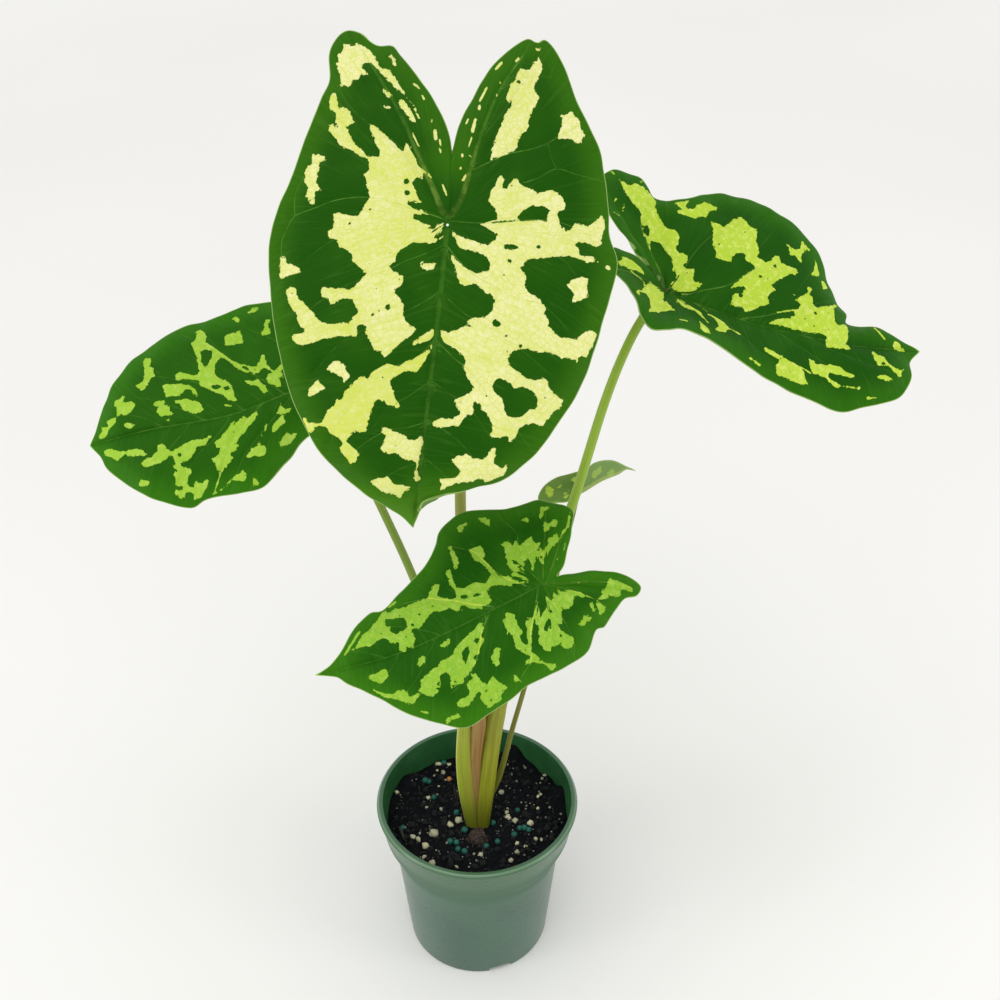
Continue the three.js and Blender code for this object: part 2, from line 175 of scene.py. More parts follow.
# The sheath's pale edge stands out by this share of its radius, over this turn to each side
PALE_EDGE_RISE = 0.05
PALE_EDGE_TURN = 12.0
SHEATH_TOP = 170.0
SHEATH_FADE = 40.0
# The stalk's end lies this far under the blade's middle and flares over the last stretch
STALK_SEAT = 0.5
FLARE_REACH = 7.0
FLARE = 0.3

# Each leaf: its frame, then its midrib and its two half margins as (across, along, out of the face) in that
# frame, and the points (x, y, z, half width, half depth) that its stalk follows
LEAVES = {
    "large_front": {
        "origin": (-7, -30, 438.7), "heading": -101, "dip": 57, "roll": 10, "arch": 3.5,
        "midrib": [(0, 0, 0), (0, 29, 0), (0, 63, -1), (1, 93, -3), (1, 106, -8), (2, 115.5, -13)],
        "left": [
            (1, -23, 0), (2, -30, -1), (5.5, -37.5, -2), (11, -46, -3), (18, -54, -4), (23.5, -59.5, -5),
            (27, -63, -5), (32, -62, -4), (36, -64, -5), (40, -67.2, -7), (45, -68, -8), (49, -65, -9),
            (51, -58, -8), (50, -48, -7), (52, -41.5, -7), (55.8, -30, -8), (60.3, -11, -6), (66, 7, -9),
            (65, 28, -8), (59, 52, -5), (52, 72, -8), (41, 88, -6), (31.3, 97.5, -8), (21.5, 104, -6),
            (14, 108, -7), (6.7, 111.5, -9), (2, 115.5, -13),
        ],
        "right": [
            (1, -23, 0), (0.6, -31, -1), (-2, -42, -3), (-8.5, -56.5, -5), (-15, -66, -6), (-22, -71.2, -7),
            (-26, -70.2, -6), (-30, -72, -8), (-37.5, -62.5, -7), (-44.5, -49, -8), (-53, -35, -6),
            (-58, -19, -8), (-61, -3, -9), (-65, 9, -7), (-63, 23, -6), (-60.5, 38, -8), (-56.3, 55.5, -8),
            (-48, 72, -5), (-38, 87, -6), (-25.5, 96, -7), (-10, 101, -5), (-1.5, 104.5, -5),
            (-0.3, 109, -9), (2, 115.5, -13),
        ],
        "stalk": [
            (-2.5, -2.8, 77, 3.0, 2.7), (-4.0, -2.6, 93, 3.9, 2.9), (-5.5, -2.1, 111, 4.4, 3.0),
            (-6.3, -1.8, 129, 4.2, 3.0), (-6.1, -1.8, 142, 4.0, 3.0), (-5.6, -1.6, 157, 3.8, 3.0),
            (-6.2, -1, 190, 2.9, 2.8), (-5.7, 1, 292, 2.5, 2.5), (-5.8, 2, 360, 2.3, 2.3),
            (-6.2, -5, 406, 2.2, 2.2), (-6.7, -18, 430, 2.1, 2.1), (-7, -30, 438.7, 2.0, 2.0),
        ],
    },
    "left": {
        "origin": (-65.4, 12, 347.8), "heading": -172, "dip": 14, "roll": 40, "arch": 3.0,
        "midrib": [(0, 0, 0), (-2, 18, 1), (-4, 44, 1), (1, 79, -2), (4, 109, -8)],
        "left": [
            (1, -10, 0), (3, -18, -1), (8, -29, -3), (15, -38, -5), (23, -41, -7), (31, -36, -8),
            (37, -24, -7), (41, -8, -6), (44, 8, -6), (47.3, 23, -7), (46.7, 32, -6), (46, 43, -7),
            (46.3, 56, -7), (43.2, 67, -6), (38, 82, -7), (29, 92, -6), (20.7, 98.2, -6), (6.5, 107, -7),
            (4, 109, -8),
        ],
        "right": [
            (1, -10, 0), (-2, -17, -1), (-6, -27, -3), (-12, -33, -5), (-18, -32, -7), (-21, -23, -8),
            (-20, -10, -8), (-19, 3, -8), (-21, 14, -8), (-28.5, 24.5, -9), (-37, 36.5, -8), (-37, 48, -8),
            (-35.5, 57, -9), (-35.3, 64, -9), (-36.5, 71.5, -10), (-30.8, 82.7, -7), (-25.5, 89.5, -6),
            (-18.5, 96.5, -7), (-9.2, 103.3, -7), (-2, 106, -7), (4, 109, -8),
        ],
        "stalk": [
            (-3.2, 4.2, 77, 1.8, 1.8), (-3.5, 4.3, 90, 1.9, 1.9), (-6, 5.0, 140, 2.2, 2.2),
            (-15, 5, 190, 2.1, 2.1), (-29, 5, 243.7, 1.95, 1.95), (-43, 5, 287, 1.9, 1.9),
            (-57.5, 8, 325, 1.8, 1.8), (-65.4, 12, 347.8, 1.7, 1.7),
        ],
    },
    "right": {
        "origin": (82.6, 18, 387), "heading": -5, "dip": 12, "roll": -36, "arch": 2.5,
        "midrib": [(0, 0, 0), (6, 33, 2), (7, 59, 3), (4, 86, 0), (-3, 114, -6)],
        "left": [
            (-8, -10, 2), (-9, -15, 7), (-8, -22, 12), (-5, -28, 16), (3, -30, 18), (10, -23, 20),
            (14, -19, 22), (21, -15, 24), (27, -12, 25), (31.5, -7, 25), (30, -1, 24), (27.5, 5, 22),
            (26.3, 12, 20), (27, 20, 17), (28.5, 28, 14), (31.7, 39, 10), (35, 55, 6), (36.2, 69, 3),
            (37, 77, 1), (36, 83, 0), (33, 89, 1), (30, 96, 2), (25, 104, 1), (19, 108, 0), (12, 110, -1),
            (4, 110, -3), (-3, 114, -6),
        ],
        "right": [
            (-8, -10, 2), (-11.5, -15.5, 4), (-14.5, -18.5, 5), (-20, -25.2, 6), (-26.3, -30.2, 6),
            (-36, -36, 4), (-45, -38, 1), (-54, -32, -2), (-55, -23, -3), (-53.8, -18.5, -3),
            (-50, -15, -3), (-46, -12, -3), (-45, -7, -2), (-47, -2, -2), (-51, 5, -4), (-56, 11, -6),
            (-59, 19, -7), (-59, 27, -7), (-58, 35, -6), (-55, 43, -6), (-53, 51, -7), (-48, 59, -8),
            (-41, 65, -8), (-34, 69, -8), (-25, 71, -6), (-17.8, 76, -6), (-13, 80.3, -6), (-9, 80, -5),
            (-8, 83, -5), (-9, 94, -4), (-7, 101, -4), (-5, 108, -5), (-3, 114, -6),
        ],
        "stalk": [
            (2.9, -2.6, 77, 3.2, 2.7), (3.6, -2.4, 93, 4.2, 2.9), (4.9, -1.6, 110, 4.7, 2.9),
            (6.8, -0.5, 129, 4.7, 2.9), (8.3, 0.2, 142, 4.6, 2.9), (9.9, 1, 157, 5.0, 2.9),
            (13.6, 2, 174, 4.2, 2.7), (28, 4, 225, 2.6, 2.5), (44.8, 5, 284, 2.3, 2.3),
            (57.9, 8, 338, 2.1, 2.1), (66.5, 11, 364, 2.0, 2.0), (74.5, 14.5, 379, 2.0, 2.0),
            (82.6, 18, 387, 2.0, 2.0),
        ],
    },
    "lower_front": {
        "origin": (30.5, -52, 285.1), "heading": -162, "dip": 14, "roll": 38, "arch": 2.5,
        "midrib": [(0, 0, 0), (-2, 23, 0), (-4, 59, -1), (-2, 82, -3), (2, 103, -7)],
        "left": [
            (1, -7, 0), (4.3, -11.8, 0), (10, -16, -1), (17.7, -21.5, -3), (25, -25.5, -5),
            (29.5, -23.7, -6), (32, -20, -6), (36, -14, -7), (37, -8, -6), (38, 1, -6), (44, 17, -8),
            (43, 26, -9), (40, 32, -10), (34.7, 35.7, -8), (28.5, 42, -6), (22.5, 54, -6), (17, 66, -5),
            (17.8, 72, -6), (16, 78, -6), (12, 84, -6), (7, 90, -6), (3.8, 95.3, -6), (2.5, 99, -6),
            (2, 103, -7),
        ],
        "right": [
            (1, -7, 0), (0, -13, -1), (-1.5, -19, -2), (-5, -29, -4), (-8, -34, -6), (-12, -38, -8),
            (-16, -40, -11), (-18.8, -36, -9), (-18, -31, -8), (-20.8, -25.7, -7), (-26, -18, -7),
            (-26, -14, -8), (-32.6, -7.3, -9), (-35.5, 4, -7), (-36, 14, -6), (-36.8, 23, -7),
            (-38.7, 30, -8), (-41, 42, -8), (-42.5, 52.3, -9), (-37, 62, -8), (-30, 71, -6), (-24, 77, -5),
            (-17.7, 81.7, -5), (-12.5, 86.7, -5), (-6.7, 92, -6), (-3, 95, -6), (-0.7, 98.3, -6),
            (2, 103, -7),
        ],
        "stalk": [
            (0.4, -2.4, 77, 1.6, 1.8), (-0.1, -2.5, 93, 1.8, 1.9), (-0.5, -2.4, 111, 2.2, 2.1),
            (-0.3, -2.6, 129, 2.7, 2.1), (0.5, -3.2, 142, 3.1, 2.2), (1.6, -4.6, 157, 3.5, 2.2),
            (3, -8, 178, 2.6, 2.0), (12, -26, 238, 1.85, 1.85),
            (23, -43, 273, 1.7, 1.7), (30.5, -52, 285.1, 1.6, 1.6),
        ],
    },
    "small_back": {
        "origin": (52, 62, 254), "heading": 26.1, "dip": -6.5, "roll": 0, "arch": 1.0,
        "midrib": [(0, 0, 0), (3, 12, 5), (3, 21, 5), (2, 28, 5), (0, 34, 0)],
        "left": [
            (0, -4, -2), (2, -3, 3), (5, -1, 8), (8, 1, 14), (9, 3, 21), (10, 7, 23), (9, 15, 20),
            (8, 20, 16), (4, 27, 8), (0, 34, 0),
        ],
        "right": [
            (0, -4, -2), (0, -7, -3), (-2, -11, -3), (-4, -16, -3), (-8, -19, -1), (-11, -14, 3),
            (-12, -6, 5), (-12, 2, 4), (-11, 10, 4), (-10, 17, 4), (-7, 23, 3), (-3, 28, 2), (0, 34, 0),
        ],
        "stalk": [
            (4.6, 4.5, 77, 1.4, 1.5), (6, 4.7, 90, 1.5, 1.6), (12.2, 5, 110, 1.5, 1.6),
            (18.2, 6.4, 140, 1.35, 1.35), (24.6, 9, 168, 1.25, 1.25), (38, 30, 212, 1.2, 1.2),
            (48, 50, 243, 1.2, 1.2), (52, 62, 254, 1.1, 1.1),
        ],
    },
}

# The pale markings of each leaf, flat in its frame. A blotch is (warmth, x, y, x, y, ...) round its outline,
# a stroke is (half width, x, y, ...) along a streak, a gap is (x, y, ...) round a green island in a blotch,
# and a dot of green is (radius, x, y).
BLOTCHES = {
    "large_front": [
        (0.35, -1.5, 40, -2, 43, -4, 45, -8, 47, -12, 50, -12, 52, -11, 53.5, -16, 60.5, -15, 62.5, -10, 65,
         -9, 66.5, -12, 70, -12, 71, -9, 72.5, -4, 73, -2, 74.5, -2, 75.5, -4, 76.5, -12, 75, -14, 71, -16,
         70.5, -17, 69, -16, 66.5, -17, 65, -19, 66.5, -19.5, 68.5, -21, 69, -23.5, 72, -24.5, 75, -24,
         76.5, -22, 77, -25, 78, -27, 78, -29, 77, -30.5, 77, -31, 79, -33.5, 77, -34.5, 73, -36, 72, -39,
         71, -43.5, 72, -44, 70, -45.5, 67.5, -47, 65.5, -49, 64.5, -50.5, 60, -49, 61, -45, 58.5, -43.5,
         57.5, -43, 55, -41, 54, -38.5, 55, -36, 55, -33, 53.5, -27.5, 50, -27, 48.5, -29, 45, -34, 43.5,
         -37, 44.5, -43, 44, -47, 45.5, -53, 45.5, -53.5, 47, -53.5, 44.5, -55, 43.5, -57, 44, -59.5, 37,
         -60, 34.5, -57, 34, -53.5, 36, -52.5, 38, -45.5, 38, -41, 34.5, -41, 32.5, -39, 30, -40, 29, -38.5,
         26.5, -37, 25.5, -36.5, 24.5, -33.5, 23.5, -31.5, 22, -30.5, 19.5, -31, 17, -28.5, 14.5, -31, 11,
         -45, 8, -48, 8, -52.5, 9.5, -57.5, 8.5, -55, 7, -50, 7.5, -49.5, 5, -48, 3.5, -48.5, 2.5, -52, 2,
         -56, 3.5, -57.5, 2, -58.5, -5.5, -57.5, -9, -56.5, -10, -55.5, -7.5, -53, -5, -50.5, -4.5, -49, -5,
         -47, -4.5, -45.5, -2, -44, -1.5, -42, -3, -39.5, -8, -42.5, -9.5, -42.5, -11.5, -42, -13, -40,
         -14.5, -37, -15.5, -32, -13.5, -24.5, -16.5, -23.5, -18.5, -20, -13.5, -19, -13.5, -19, -15.5,
         -19.5, -17, -18, -18.5, -16.5, -17.5, -16, -14, -15, -12.5, -14, -8.5, -17, -6, -18, -2.5, -12, 0,
         -18.5, 3, -18.5, 5, -15.5, 7.5, -12, 7, -3.5, 5, -1, 2, -4.5, 8.5, -5.5, 10, -9, 10, -16, 11.5,
         -17.5, 14.5, -16.5, 17, -14, 17.5, -12.5, 18.5, -7, 16, -2, 11.5, -6.5, 22, -8.5, 23.5, -10, 22.5,
         -13, 22.5, -17, 25, -19.5, 25.5, -20.5, 27.5, -20, 29.5, -19.5, 32, -17, 34, -11.5, 35, -11, 37,
         -13, 38, -10, 38, -5, 41, -3, 41),
        (0.35, -31.5, 87.5, -30, 91.5, -25, 94.5, -23.5, 95, -22.5, 93.5, -18, 95.5, -15.5, 95.5, -9.5, 98,
         -7.5, 99.5, -7.5, 97, -6.5, 95.5, -12, 94.5, -14, 93, -14, 91, -11, 89, -10.5, 87.5, -12, 86.5,
         -16.5, 85, -18, 86.5, -20.5, 86.5, -22.5, 86, -24.5, 82.5, -26, 82, -26.5, 84, -26, 86, -26, 87.5,
         -28.5, 88.5, -29, 89.5, -30, 88.5, -30.5, 87),
        (0.5, 4, 99.5, 7, 102.5, 7.5, 104, 10, 103, 12.5, 103, 18, 100.5, 19.5, 99, 18, 98, 15.5, 97.5, 13,
         96.5, 10, 99),
        (0.4, 0.5, 96.5, 2, 97.5, 3, 96.5, 2.5, 91, 3, 90, 4.5, 89.5, 6, 90, 10.5, 87.5, 14, 88, 16.5, 86.5,
         15, 83, 15, 81.5, 17, 80, 16, 78, 11, 80, 8.5, 80.5, 6, 82, 4, 82, 1.5, 80, 1, 82.5, 2, 92, 1.5,
         95),
        (0.8, 1, 46, 2, 50, 5.5, 56.5, 7.5, 57, 9, 56.5, 11, 57, 16, 61.5, 13.5, 64.5, 13, 67, 11.5, 69, 11,
         70, 11.5, 71, 13.5, 70, 15.5, 70, 17, 68.5, 19, 68.5, 20.5, 70, 22.5, 80.5, 24.5, 81.5, 26, 80.5,
         28, 82.5, 29.5, 85, 23.5, 89.5, 25, 90.5, 24.5, 92, 27, 93, 32, 88, 31, 86, 33, 83.5, 35.5, 83,
         37.5, 80.5, 40, 80, 42, 81.5, 43, 83, 42, 85, 44.5, 83, 47, 79.5, 47, 78, 46, 78, 44.5, 79.5, 42,
         79.5, 39, 78.5, 37.5, 74, 36, 73.5, 34.5, 70, 32.5, 70, 32, 66.5, 30, 65, 28.5, 62.5, 25.5, 60,
         24.5, 61, 22.5, 61.5, 23, 59.5, 19, 55.5, 17, 55, 12.5, 55.5, 10, 53, 7, 52, 3, 48.5),
        (0.2, 30, 60.5, 32, 64, 33, 61.5, 37, 60, 39.5, 59.5, 37, 56, 35, 55.5, 33, 56.5, 32, 59),
        (0.2, 39.5, 66.5, 41.5, 67.5, 43.5, 69.5, 45.5, 69.5, 45.5, 66.5, 42, 63),
        (0.6, 1, 40, 1, 43.5, 3, 45, 6, 46, 8.5, 47.5, 8, 45.5, 2.5, 41),
        (0.5, 6.5, 40.5, 18, 52.5, 20, 50.5, 22.5, 50.5, 23.5, 48, 26.5, 44, 25.5, 42.5, 27, 41.5, 30, 42,
         29, 44, 29.5, 46, 35.5, 46.5, 44, 49, 49.5, 51.5, 53.5, 49.5, 53.5, 47.5, 49, 47, 49, 45, 51, 44,
         52, 42.5, 52.5, 40, 56, 36, 56.5, 33.5, 58, 31.5, 56.5, 30, 54.5, 30, 53, 31.5, 53, 33.5, 47, 38,
         43, 42, 40, 42.5, 33, 41.5, 31.5, 40, 29.5, 36.5, 32, 32.5, 35.5, 32.5, 40, 35.5, 41, 33, 43, 33,
         44.5, 31, 44.5, 29, 33, 29, 28, 22.5, 33.5, 18.5, 34, 16, 36, 14.5, 39, 13.5, 40, 11.5, 41.5, 10.5,
         43.5, 10.5, 44, 8, 42, 6.5, 42.5, 1.5, 41, 1, 33.5, 2, 29.5, -5.5, 32.5, -13.5, 30.5, -15, 31, -18,
         32, -19.5, 35, -20.5, 38, -22.5, 42.5, -23.5, 44.5, -26.5, 48.5, -30, 47, -32, 46, -31.5, 45, -30,
         44, -30, 45, -32, 45, -34.5, 46, -36.5, 48, -37, 49, -40, 48, -42.5, 47, -44, 46, -42.5, 44.5,
         -37.5, 42.5, -38, 40.5, -37.5, 40, -35.5, 37.5, -32.5, 39.5, -32, 41, -31, 38, -26, 34, -22.5,
         31.5, -20.5, 27.5, -20.5, 27.5, -22.5, 31.5, -29.5, 32.5, -32.5, 30.5, -32, 19, -23.5, 18.5, -27,
         17.5, -27, 13, -19, 8.5, -16, 7, -14, 8.5, -15.5, 10.5, -16, 11, -15, 10.5, -14, 13, -14, 14.5,
         -12.5, 10.5, -5.5, 15, -5.5, 15.5, -4, 6.5, -1.5, 13, -1, 12.5, 0.5, 8, 2.5, 5, 2.5, 1, 0.5, 2, 3,
         1.5, 4, 1.5, 6.5, 3, 8, 5.5, 9, 12, 9.5, 14.5, 11, 18, 14.5, 17.5, 16.5, 20, 19.5, 14.5, 22.5, 14,
         25.5, 16.5, 27, 17.5, 28.5, 15, 30, 12.5, 34, 13, 36, 12, 38, 9.5, 40.5),
        (0.15, 2, 15, 3.5, 18, 5, 19, 8, 18.5, 8.5, 16.5, 3.5, 16),
        (0.3, 52.5, 24, 54.5, 25, 57, 25.5, 60, 27.5, 61, 25, 61.5, 18, 59.5, 19, 59, 21, 54.5, 22),
        (0.35, 50, -1, 52, -1.5, 53.5, -4.5, 53, -7.5, 55, -10, 55, -13, 54, -15.5, 52.5, -16.5, 53, -20,
         50.5, -20, 48.5, -19.5, 47, -18, 49.5, -17.5, 50, -9, 48, -6.5, 50, -6),
        (0.1, -54.5, 22.5, -49, 24.5, -49.5, 22, -48, 20, -46.5, 19, -48, 16.5, -52, 15, -54, 15.5),
        (0.1, -62.5, 11, -60.5, 11, -60, 9.5, -62, 9),
        (0.15, -47.5, -38, -45.5, -34, -44.5, -34, -43, -35.5, -37.5, -35, -37.5, -37, -38.5, -40, -37.5,
         -44.5, -40, -45, -41.5, -47, -45, -43.5, -45.5, -41),
        (0.3, -13.5, -24, -13.5, -27, -14.5, -32, -17, -41, -19, -45, -16.5, -46.5, -18, -52.5, -21, -59,
         -22.5, -58.5, -24.5, -59.5, -25, -62, -27, -63.5, -28.5, -63, -29, -60, -26.5, -52.5, -27.5, -50.5,
         -29, -49.5, -25.5, -40, -26.5, -37.5, -24, -35, -22.5, -32, -23, -29.5, -17, -25.5),
        (0.2, -27.5, -68.5, -27, -67, -24, -67.5),
        (0.3, 13.5, -35.5, 17, -40.5, 20, -43.5, 27, -53, 29, -53, 31.5, -55, 34.5, -60, 40.5, -63, 42.5,
         -61.5, 46, -62.5, 45.5, -59, 47.5, -58, 46.5, -55.5, 48, -55, 46.5, -52.5, 45, -48, 45.5, -46, 43,
         -46.5, 41.5, -45.5, 41, -48.5, 38.5, -49, 37.5, -51, 34.5, -51, 38, -54, 37, -55.5, 34.5, -55.5,
         26, -48, 24.5, -46, 22.5, -45.5, 17.5, -41, 15, -36),
        (0.3, 15.5, -34.5, 16.5, -34, 21.5, -39.5, 22.5, -41.5, 21.5, -42.5, 19, -40, 17, -37.5),
        (0.2, 25, -39, 26.5, -38.5, 28, -39.5, 26.5, -40.5),
        (0.2, 24, -43, 25.5, -44.5, 29, -46, 28, -44, 26.5, -42.5, 25.5, -43.5),
        (0.2, 25.5, -54.5, 27.5, -57, 28.5, -59, 27.5, -59.5, 26, -57.5, 25, -55.5),
    ],
    "left": [
        (0.5, -8, 96.5, -3, 102.5, -1, 102.5, -1, 99.5, -3, 97, -5.5, 92, -5, 91.5, -5.5, 88, -7, 84.5, -10,
         82.5, -11, 83.5, -9.5, 85.5, -8, 91.5, -6.5, 92),
        (0.5, -21.5, 89.5, -19.5, 88, -21.5, 84.5, -23, 85, -23, 87.5),
        (0.5, -14.5, 86, -13, 85.5, -12, 82.5, -12.5, 81, -10, 77, -8, 77, -8, 74, -10, 73.5, -12.5, 71.5,
         -10.5, 62, -10.5, 59.5, -11.5, 57, -10.5, 53.5, -11, 53, -14, 56, -14, 58, -13.5, 59.5, -17.5,
         63.5, -18.5, 66, -18, 68.5, -20, 69, -21, 66.5, -22.5, 65, -26.5, 69, -28, 68.5, -29, 67, -27, 65,
         -28.5, 63, -27.5, 59.5, -29, 59.5, -33.5, 64.5, -34, 69, -32.5, 67.5, -31, 68, -30, 70, -32, 72.5,
         -31.5, 74.5, -30, 74.5, -29.5, 76, -28.5, 74.5, -29, 72, -27.5, 71, -26.5, 74, -24, 73, -21.5, 73,
         -21, 71, -18.5, 72.5, -18, 71, -15, 71, -14, 72.5, -16, 77, -15.5, 80, -16, 83),
        (0.5, -25.5, 54.5, -24, 54, -20.5, 55, -20, 53, -18.5, 51, -17, 50, -17, 51.5, -14, 52, -13, 49.5,
         -11, 46, -8, 43, -7, 41, -8, 41, -9, 42, -6.5, 36, -8, 36, -6, 31, -7.5, 30.5, -10, 33, -12, 36.5,
         -13.5, 37.5, -14.5, 40.5, -16.5, 42, -17, 43.5, -18, 42, -19.5, 43.5, -20.5, 46.5, -22.5, 46, -26,
         52),
        (0.5, -33, 55, -30, 49, -28.5, 43, -32, 42.5, -32.5, 45, -31, 49, -32, 52),
        (0.5, -36, 42, -34.5, 41, -32.5, 40, -35.5, 38, -36, 39.5),
        (0.5, -24, 40.5, -21, 37, -20.5, 34.5, -16.5, 31, -21, 33, -21.5, 31, -23.5, 31, -25.5, 32.5, -25,
         35.5, -24, 37, -24.5, 39.5),
        (0.5, -17, 26.5, -15, 26, -12.5, 23.5, -11, 20, -14, 20, -16, 23, -17, 25),
        (0.5, -11, 19.5, -9.5, 23, -5.5, 19.5, -7.5, 19.5, -8.5, 18.5, -9, 15.5, -10, 16.5),
        (0.5, -23, 25, -21.5, 25, -18, 20.5, -19.5, 19.5, -19, 17, -22, 20.5, -23, 23.5),
        (0.5, 5, 104, 6.5, 103.5, 8, 101.5, 9.5, 101, 8.5, 97.5, 11, 98, 11.5, 92.5, 15.5, 92, 17, 93, 19,
         92, 19, 89, 20, 88, 19, 87, 17, 88.5, 16, 87.5, 15.5, 84.5, 13.5, 82.5, 11.5, 84, 11, 86.5, 10,
         87.5, 11.5, 90.5, 11, 92.5, 8.5, 94, 7, 98, 5.5, 99, 4.5, 101.5),
        (0.5, 4.5, 88.5, 7, 90.5, 7, 88.5, 5, 85, 4.5, 86.5),
        (0.5, 19, 79, 22.5, 81.5, 24, 77.5, 30.5, 76.5, 34, 77, 35.5, 76, 35.5, 73.5, 32.5, 73, 30, 74.5,
         29.5, 72.5, 24.5, 72, 24, 74, 19.5, 77),
        (0.5, 4.5, 73, 7, 74, 9, 73, 10.5, 75, 12, 74, 11.5, 69.5, 9.5, 70, 8, 68.5, 6, 68, 4, 66.5, 3.5,
         68, 4.5, 70.5),
        (0.5, 1.5, 70.5, 2.5, 70.5, 3, 69.5, 2, 69),
        (0.5, 9, 66, 9.5, 65, 9, 60, 7, 57.5, 6.5, 55, 2, 53, 1, 54.5, 1, 57.5, 5, 63, 7.5, 63),
        (0.5, 12.5, 68.5, 18.5, 69.5, 19, 68, 17, 62, 14, 56.5, 10.5, 54.5, 8, 54.5, 9, 56, 12, 57, 13,
         58.5, 12.5, 61, 11, 61.5),
        (0.5, 1, 38, 3, 38.5, 7, 38.5, 10, 39.5, 12, 41, 13, 43, 15, 44.5, 17.5, 45, 20.5, 44, 22.5, 42.5,
         24, 39, 32, 46, 34.5, 47, 36.5, 46, 40, 47, 41.5, 50, 37, 51.5, 35, 53.5, 29, 52, 19.5, 51.5, 18,
         53, 22.5, 61, 21.5, 63, 19.5, 63, 18.5, 62, 19, 60, 15.5, 53, 13, 52.5, 10.5, 50, 5.5, 43.5, 3, 42,
         1.5, 40),
        (0.5, 11, 28.5, 13, 29.5, 15, 30, 16.5, 32, 15, 35, 17.5, 36.5, 20, 36.5, 14.5, 28.5, 14, 26, 19,
         23, 18.5, 22, 13, 21.5, 10.5, 20.5, 9.5, 19, 12.5, 15, 10, 15, 9, 16.5, 7, 15.5, 5.5, 16.5, 6, 18,
         4, 17.5, 1, 18, 4, 21, 5, 23.5, 7.5, 23.5, 9, 22, 9, 20, 12, 22, 12.5, 23, 11.5, 25),
        (0.5, 0.5, 24, 1.5, 26, 5.5, 28.5, 6.5, 31.5, 8.5, 33, 9, 32.5, 7.5, 28.5, 8.5, 27, 6.5, 26.5, 4,
         24, 3, 24.5),
        (0.5, 28.5, 38.5, 33.5, 38, 34.5, 36, 34, 33, 34.5, 30.5, 30, 30, 27.5, 30),
        (0.5, 38.5, 31, 40, 32, 41.5, 32.5, 42, 33.5, 42.5, 32, 42, 30.5, 39.5, 30),
        (0.5, 42.5, 28, 43, 25.5, 45, 23.5, 45.5, 22, 43.5, 20.5, 42, 21.5),
        (0.5, 28, 21.5, 30, 21.5, 31, 20, 36, 18.5, 35.5, 16, 32, 18, 28, 17),
        (0.5, 20, 8, 24, 9, 26, 5, 30, 3, 29, -1, 24, -2, 21, 2),
        (0.5, -14, 9, -9, 8, -8, 3, -12, -2, -15, -8, -17, -4, -15, 3),
        (0.5, 8, -6, 13, -8, 21, -24, 16, -26, 12, -19, 9, -12), (0.5, 33, 10, 38, 9, 39, 2, 35, -6, 33, 0),
    ],
    "right": [
        (0.7, -1.5, 107, -0.5, 107, 0, 102, -1.5, 101, -3.5, 101.5, -3.5, 103.5, -2, 105.5),
        (0.7, 10.5, 105.5, 15.5, 103.5, 11.5, 98.5, 12.5, 93.5, 10, 91.5, 6.5, 91, 5.5, 91.5, 7, 94, 7,
         96.5, 10, 98, 11.5, 101, 11.5, 103.5),
        (0.7, 17, 101, 18, 100, 19, 97.5, 19, 93, 17.5, 94, 16.5, 97),
        (0.7, 27.5, 94.5, 29.5, 90, 28.5, 90, 28, 92),
        (0.7, 25, 87, 26, 86, 26.5, 78.5, 28, 76.5, 25, 71, 24.5, 65.5, 23, 64, 18.5, 63, 19, 65, 20, 66.5,
         18, 72.5, 18, 76.5, 19.5, 79, 20, 83, 21, 83.5, 22, 81.5, 21.5, 78, 22, 72.5, 24, 72, 25.5, 75, 26,
         79),
        (0.7, 30, 64, 31, 61.5, 30, 50, 26.5, 49, 23.5, 50, 21, 43.5, 19, 43.5, 23, 57, 24, 60),
        (0.7, 28, 43, 29.5, 41, 28.5, 40, 27, 37, 26.5, 37),
        (0.7, -4.5, 80, 4.5, 79.5, 8, 81, 9, 79, 10, 70, 4.5, 70, 4, 67, 5, 62.5, 5.5, 55, 5, 51.5, 5, 48,
         6, 44, 4.5, 45.5, 2, 48.5, 0.5, 53.5, -1.5, 55.5, -4.5, 55, -5.5, 57, -8, 57.5, -9.5, 55, -11.5,
         56.5, -13.5, 59, -16, 60.5, -18.5, 60, -19.5, 61.5, -18, 62.5, -14.5, 61, -13.5, 62.5, -9.5, 63,
         -8.5, 65, -11.5, 70.5, -17, 76.5, -11, 73, -5, 73.5, -3.5, 75.5, -5, 78.5),
        (0.7, -44, 56.5, -39.5, 61, -39, 58.5, -35.5, 56.5, -30.5, 57, -34, 53, -33, 51.5, -34.5, 50.5, -37,
         50, -38.5, 48.5, -39, 50, -37, 51.5, -37, 53.5, -38.5, 56),
        (0.7, -37, 63, -35, 64, -29, 66, -26.5, 65, -26, 61.5, -30, 63, -33, 63.5),
        (0.7, -25, 68, -23, 70, -21, 69, -20, 67.5, -24.5, 66.5),
        (0.7, -27, 54, -25, 55.5, -23, 54, -22.5, 51.5, -14.5, 44, -12, 46, -9, 43, -4, 44, -3, 41.5, 2.5,
         34, 0, 33.5, 0.5, 27.5, -4, 28, -5.5, 29, -7, 32, -9, 33, -10, 32, -8, 26.5, -15.5, 31.5, -21.5,
         37, -24, 31, -26, 31.5, -26.5, 29, -26, 27, -23.5, 25.5, -21, 25.5, -21, 18.5, -23.5, 18.5, -28.5,
         16.5, -35.5, 16, -40, 14.5, -39.5, 18, -38.5, 20.5, -44, 24, -46.5, 27.5, -42, 31.5, -41, 35,
         -34.5, 35.5, -30, 37, -26.5, 36.5, -25.5, 40.5, -26.5, 42.5, -30, 44, -31, 46, -27, 47.5),
        (0.7, -49, 17, -47, 16.5, -46, 14, -41.5, 12, -41.5, 10, -39.5, 7.5, -38.5, -1.5, -40.5, -1, -41.5,
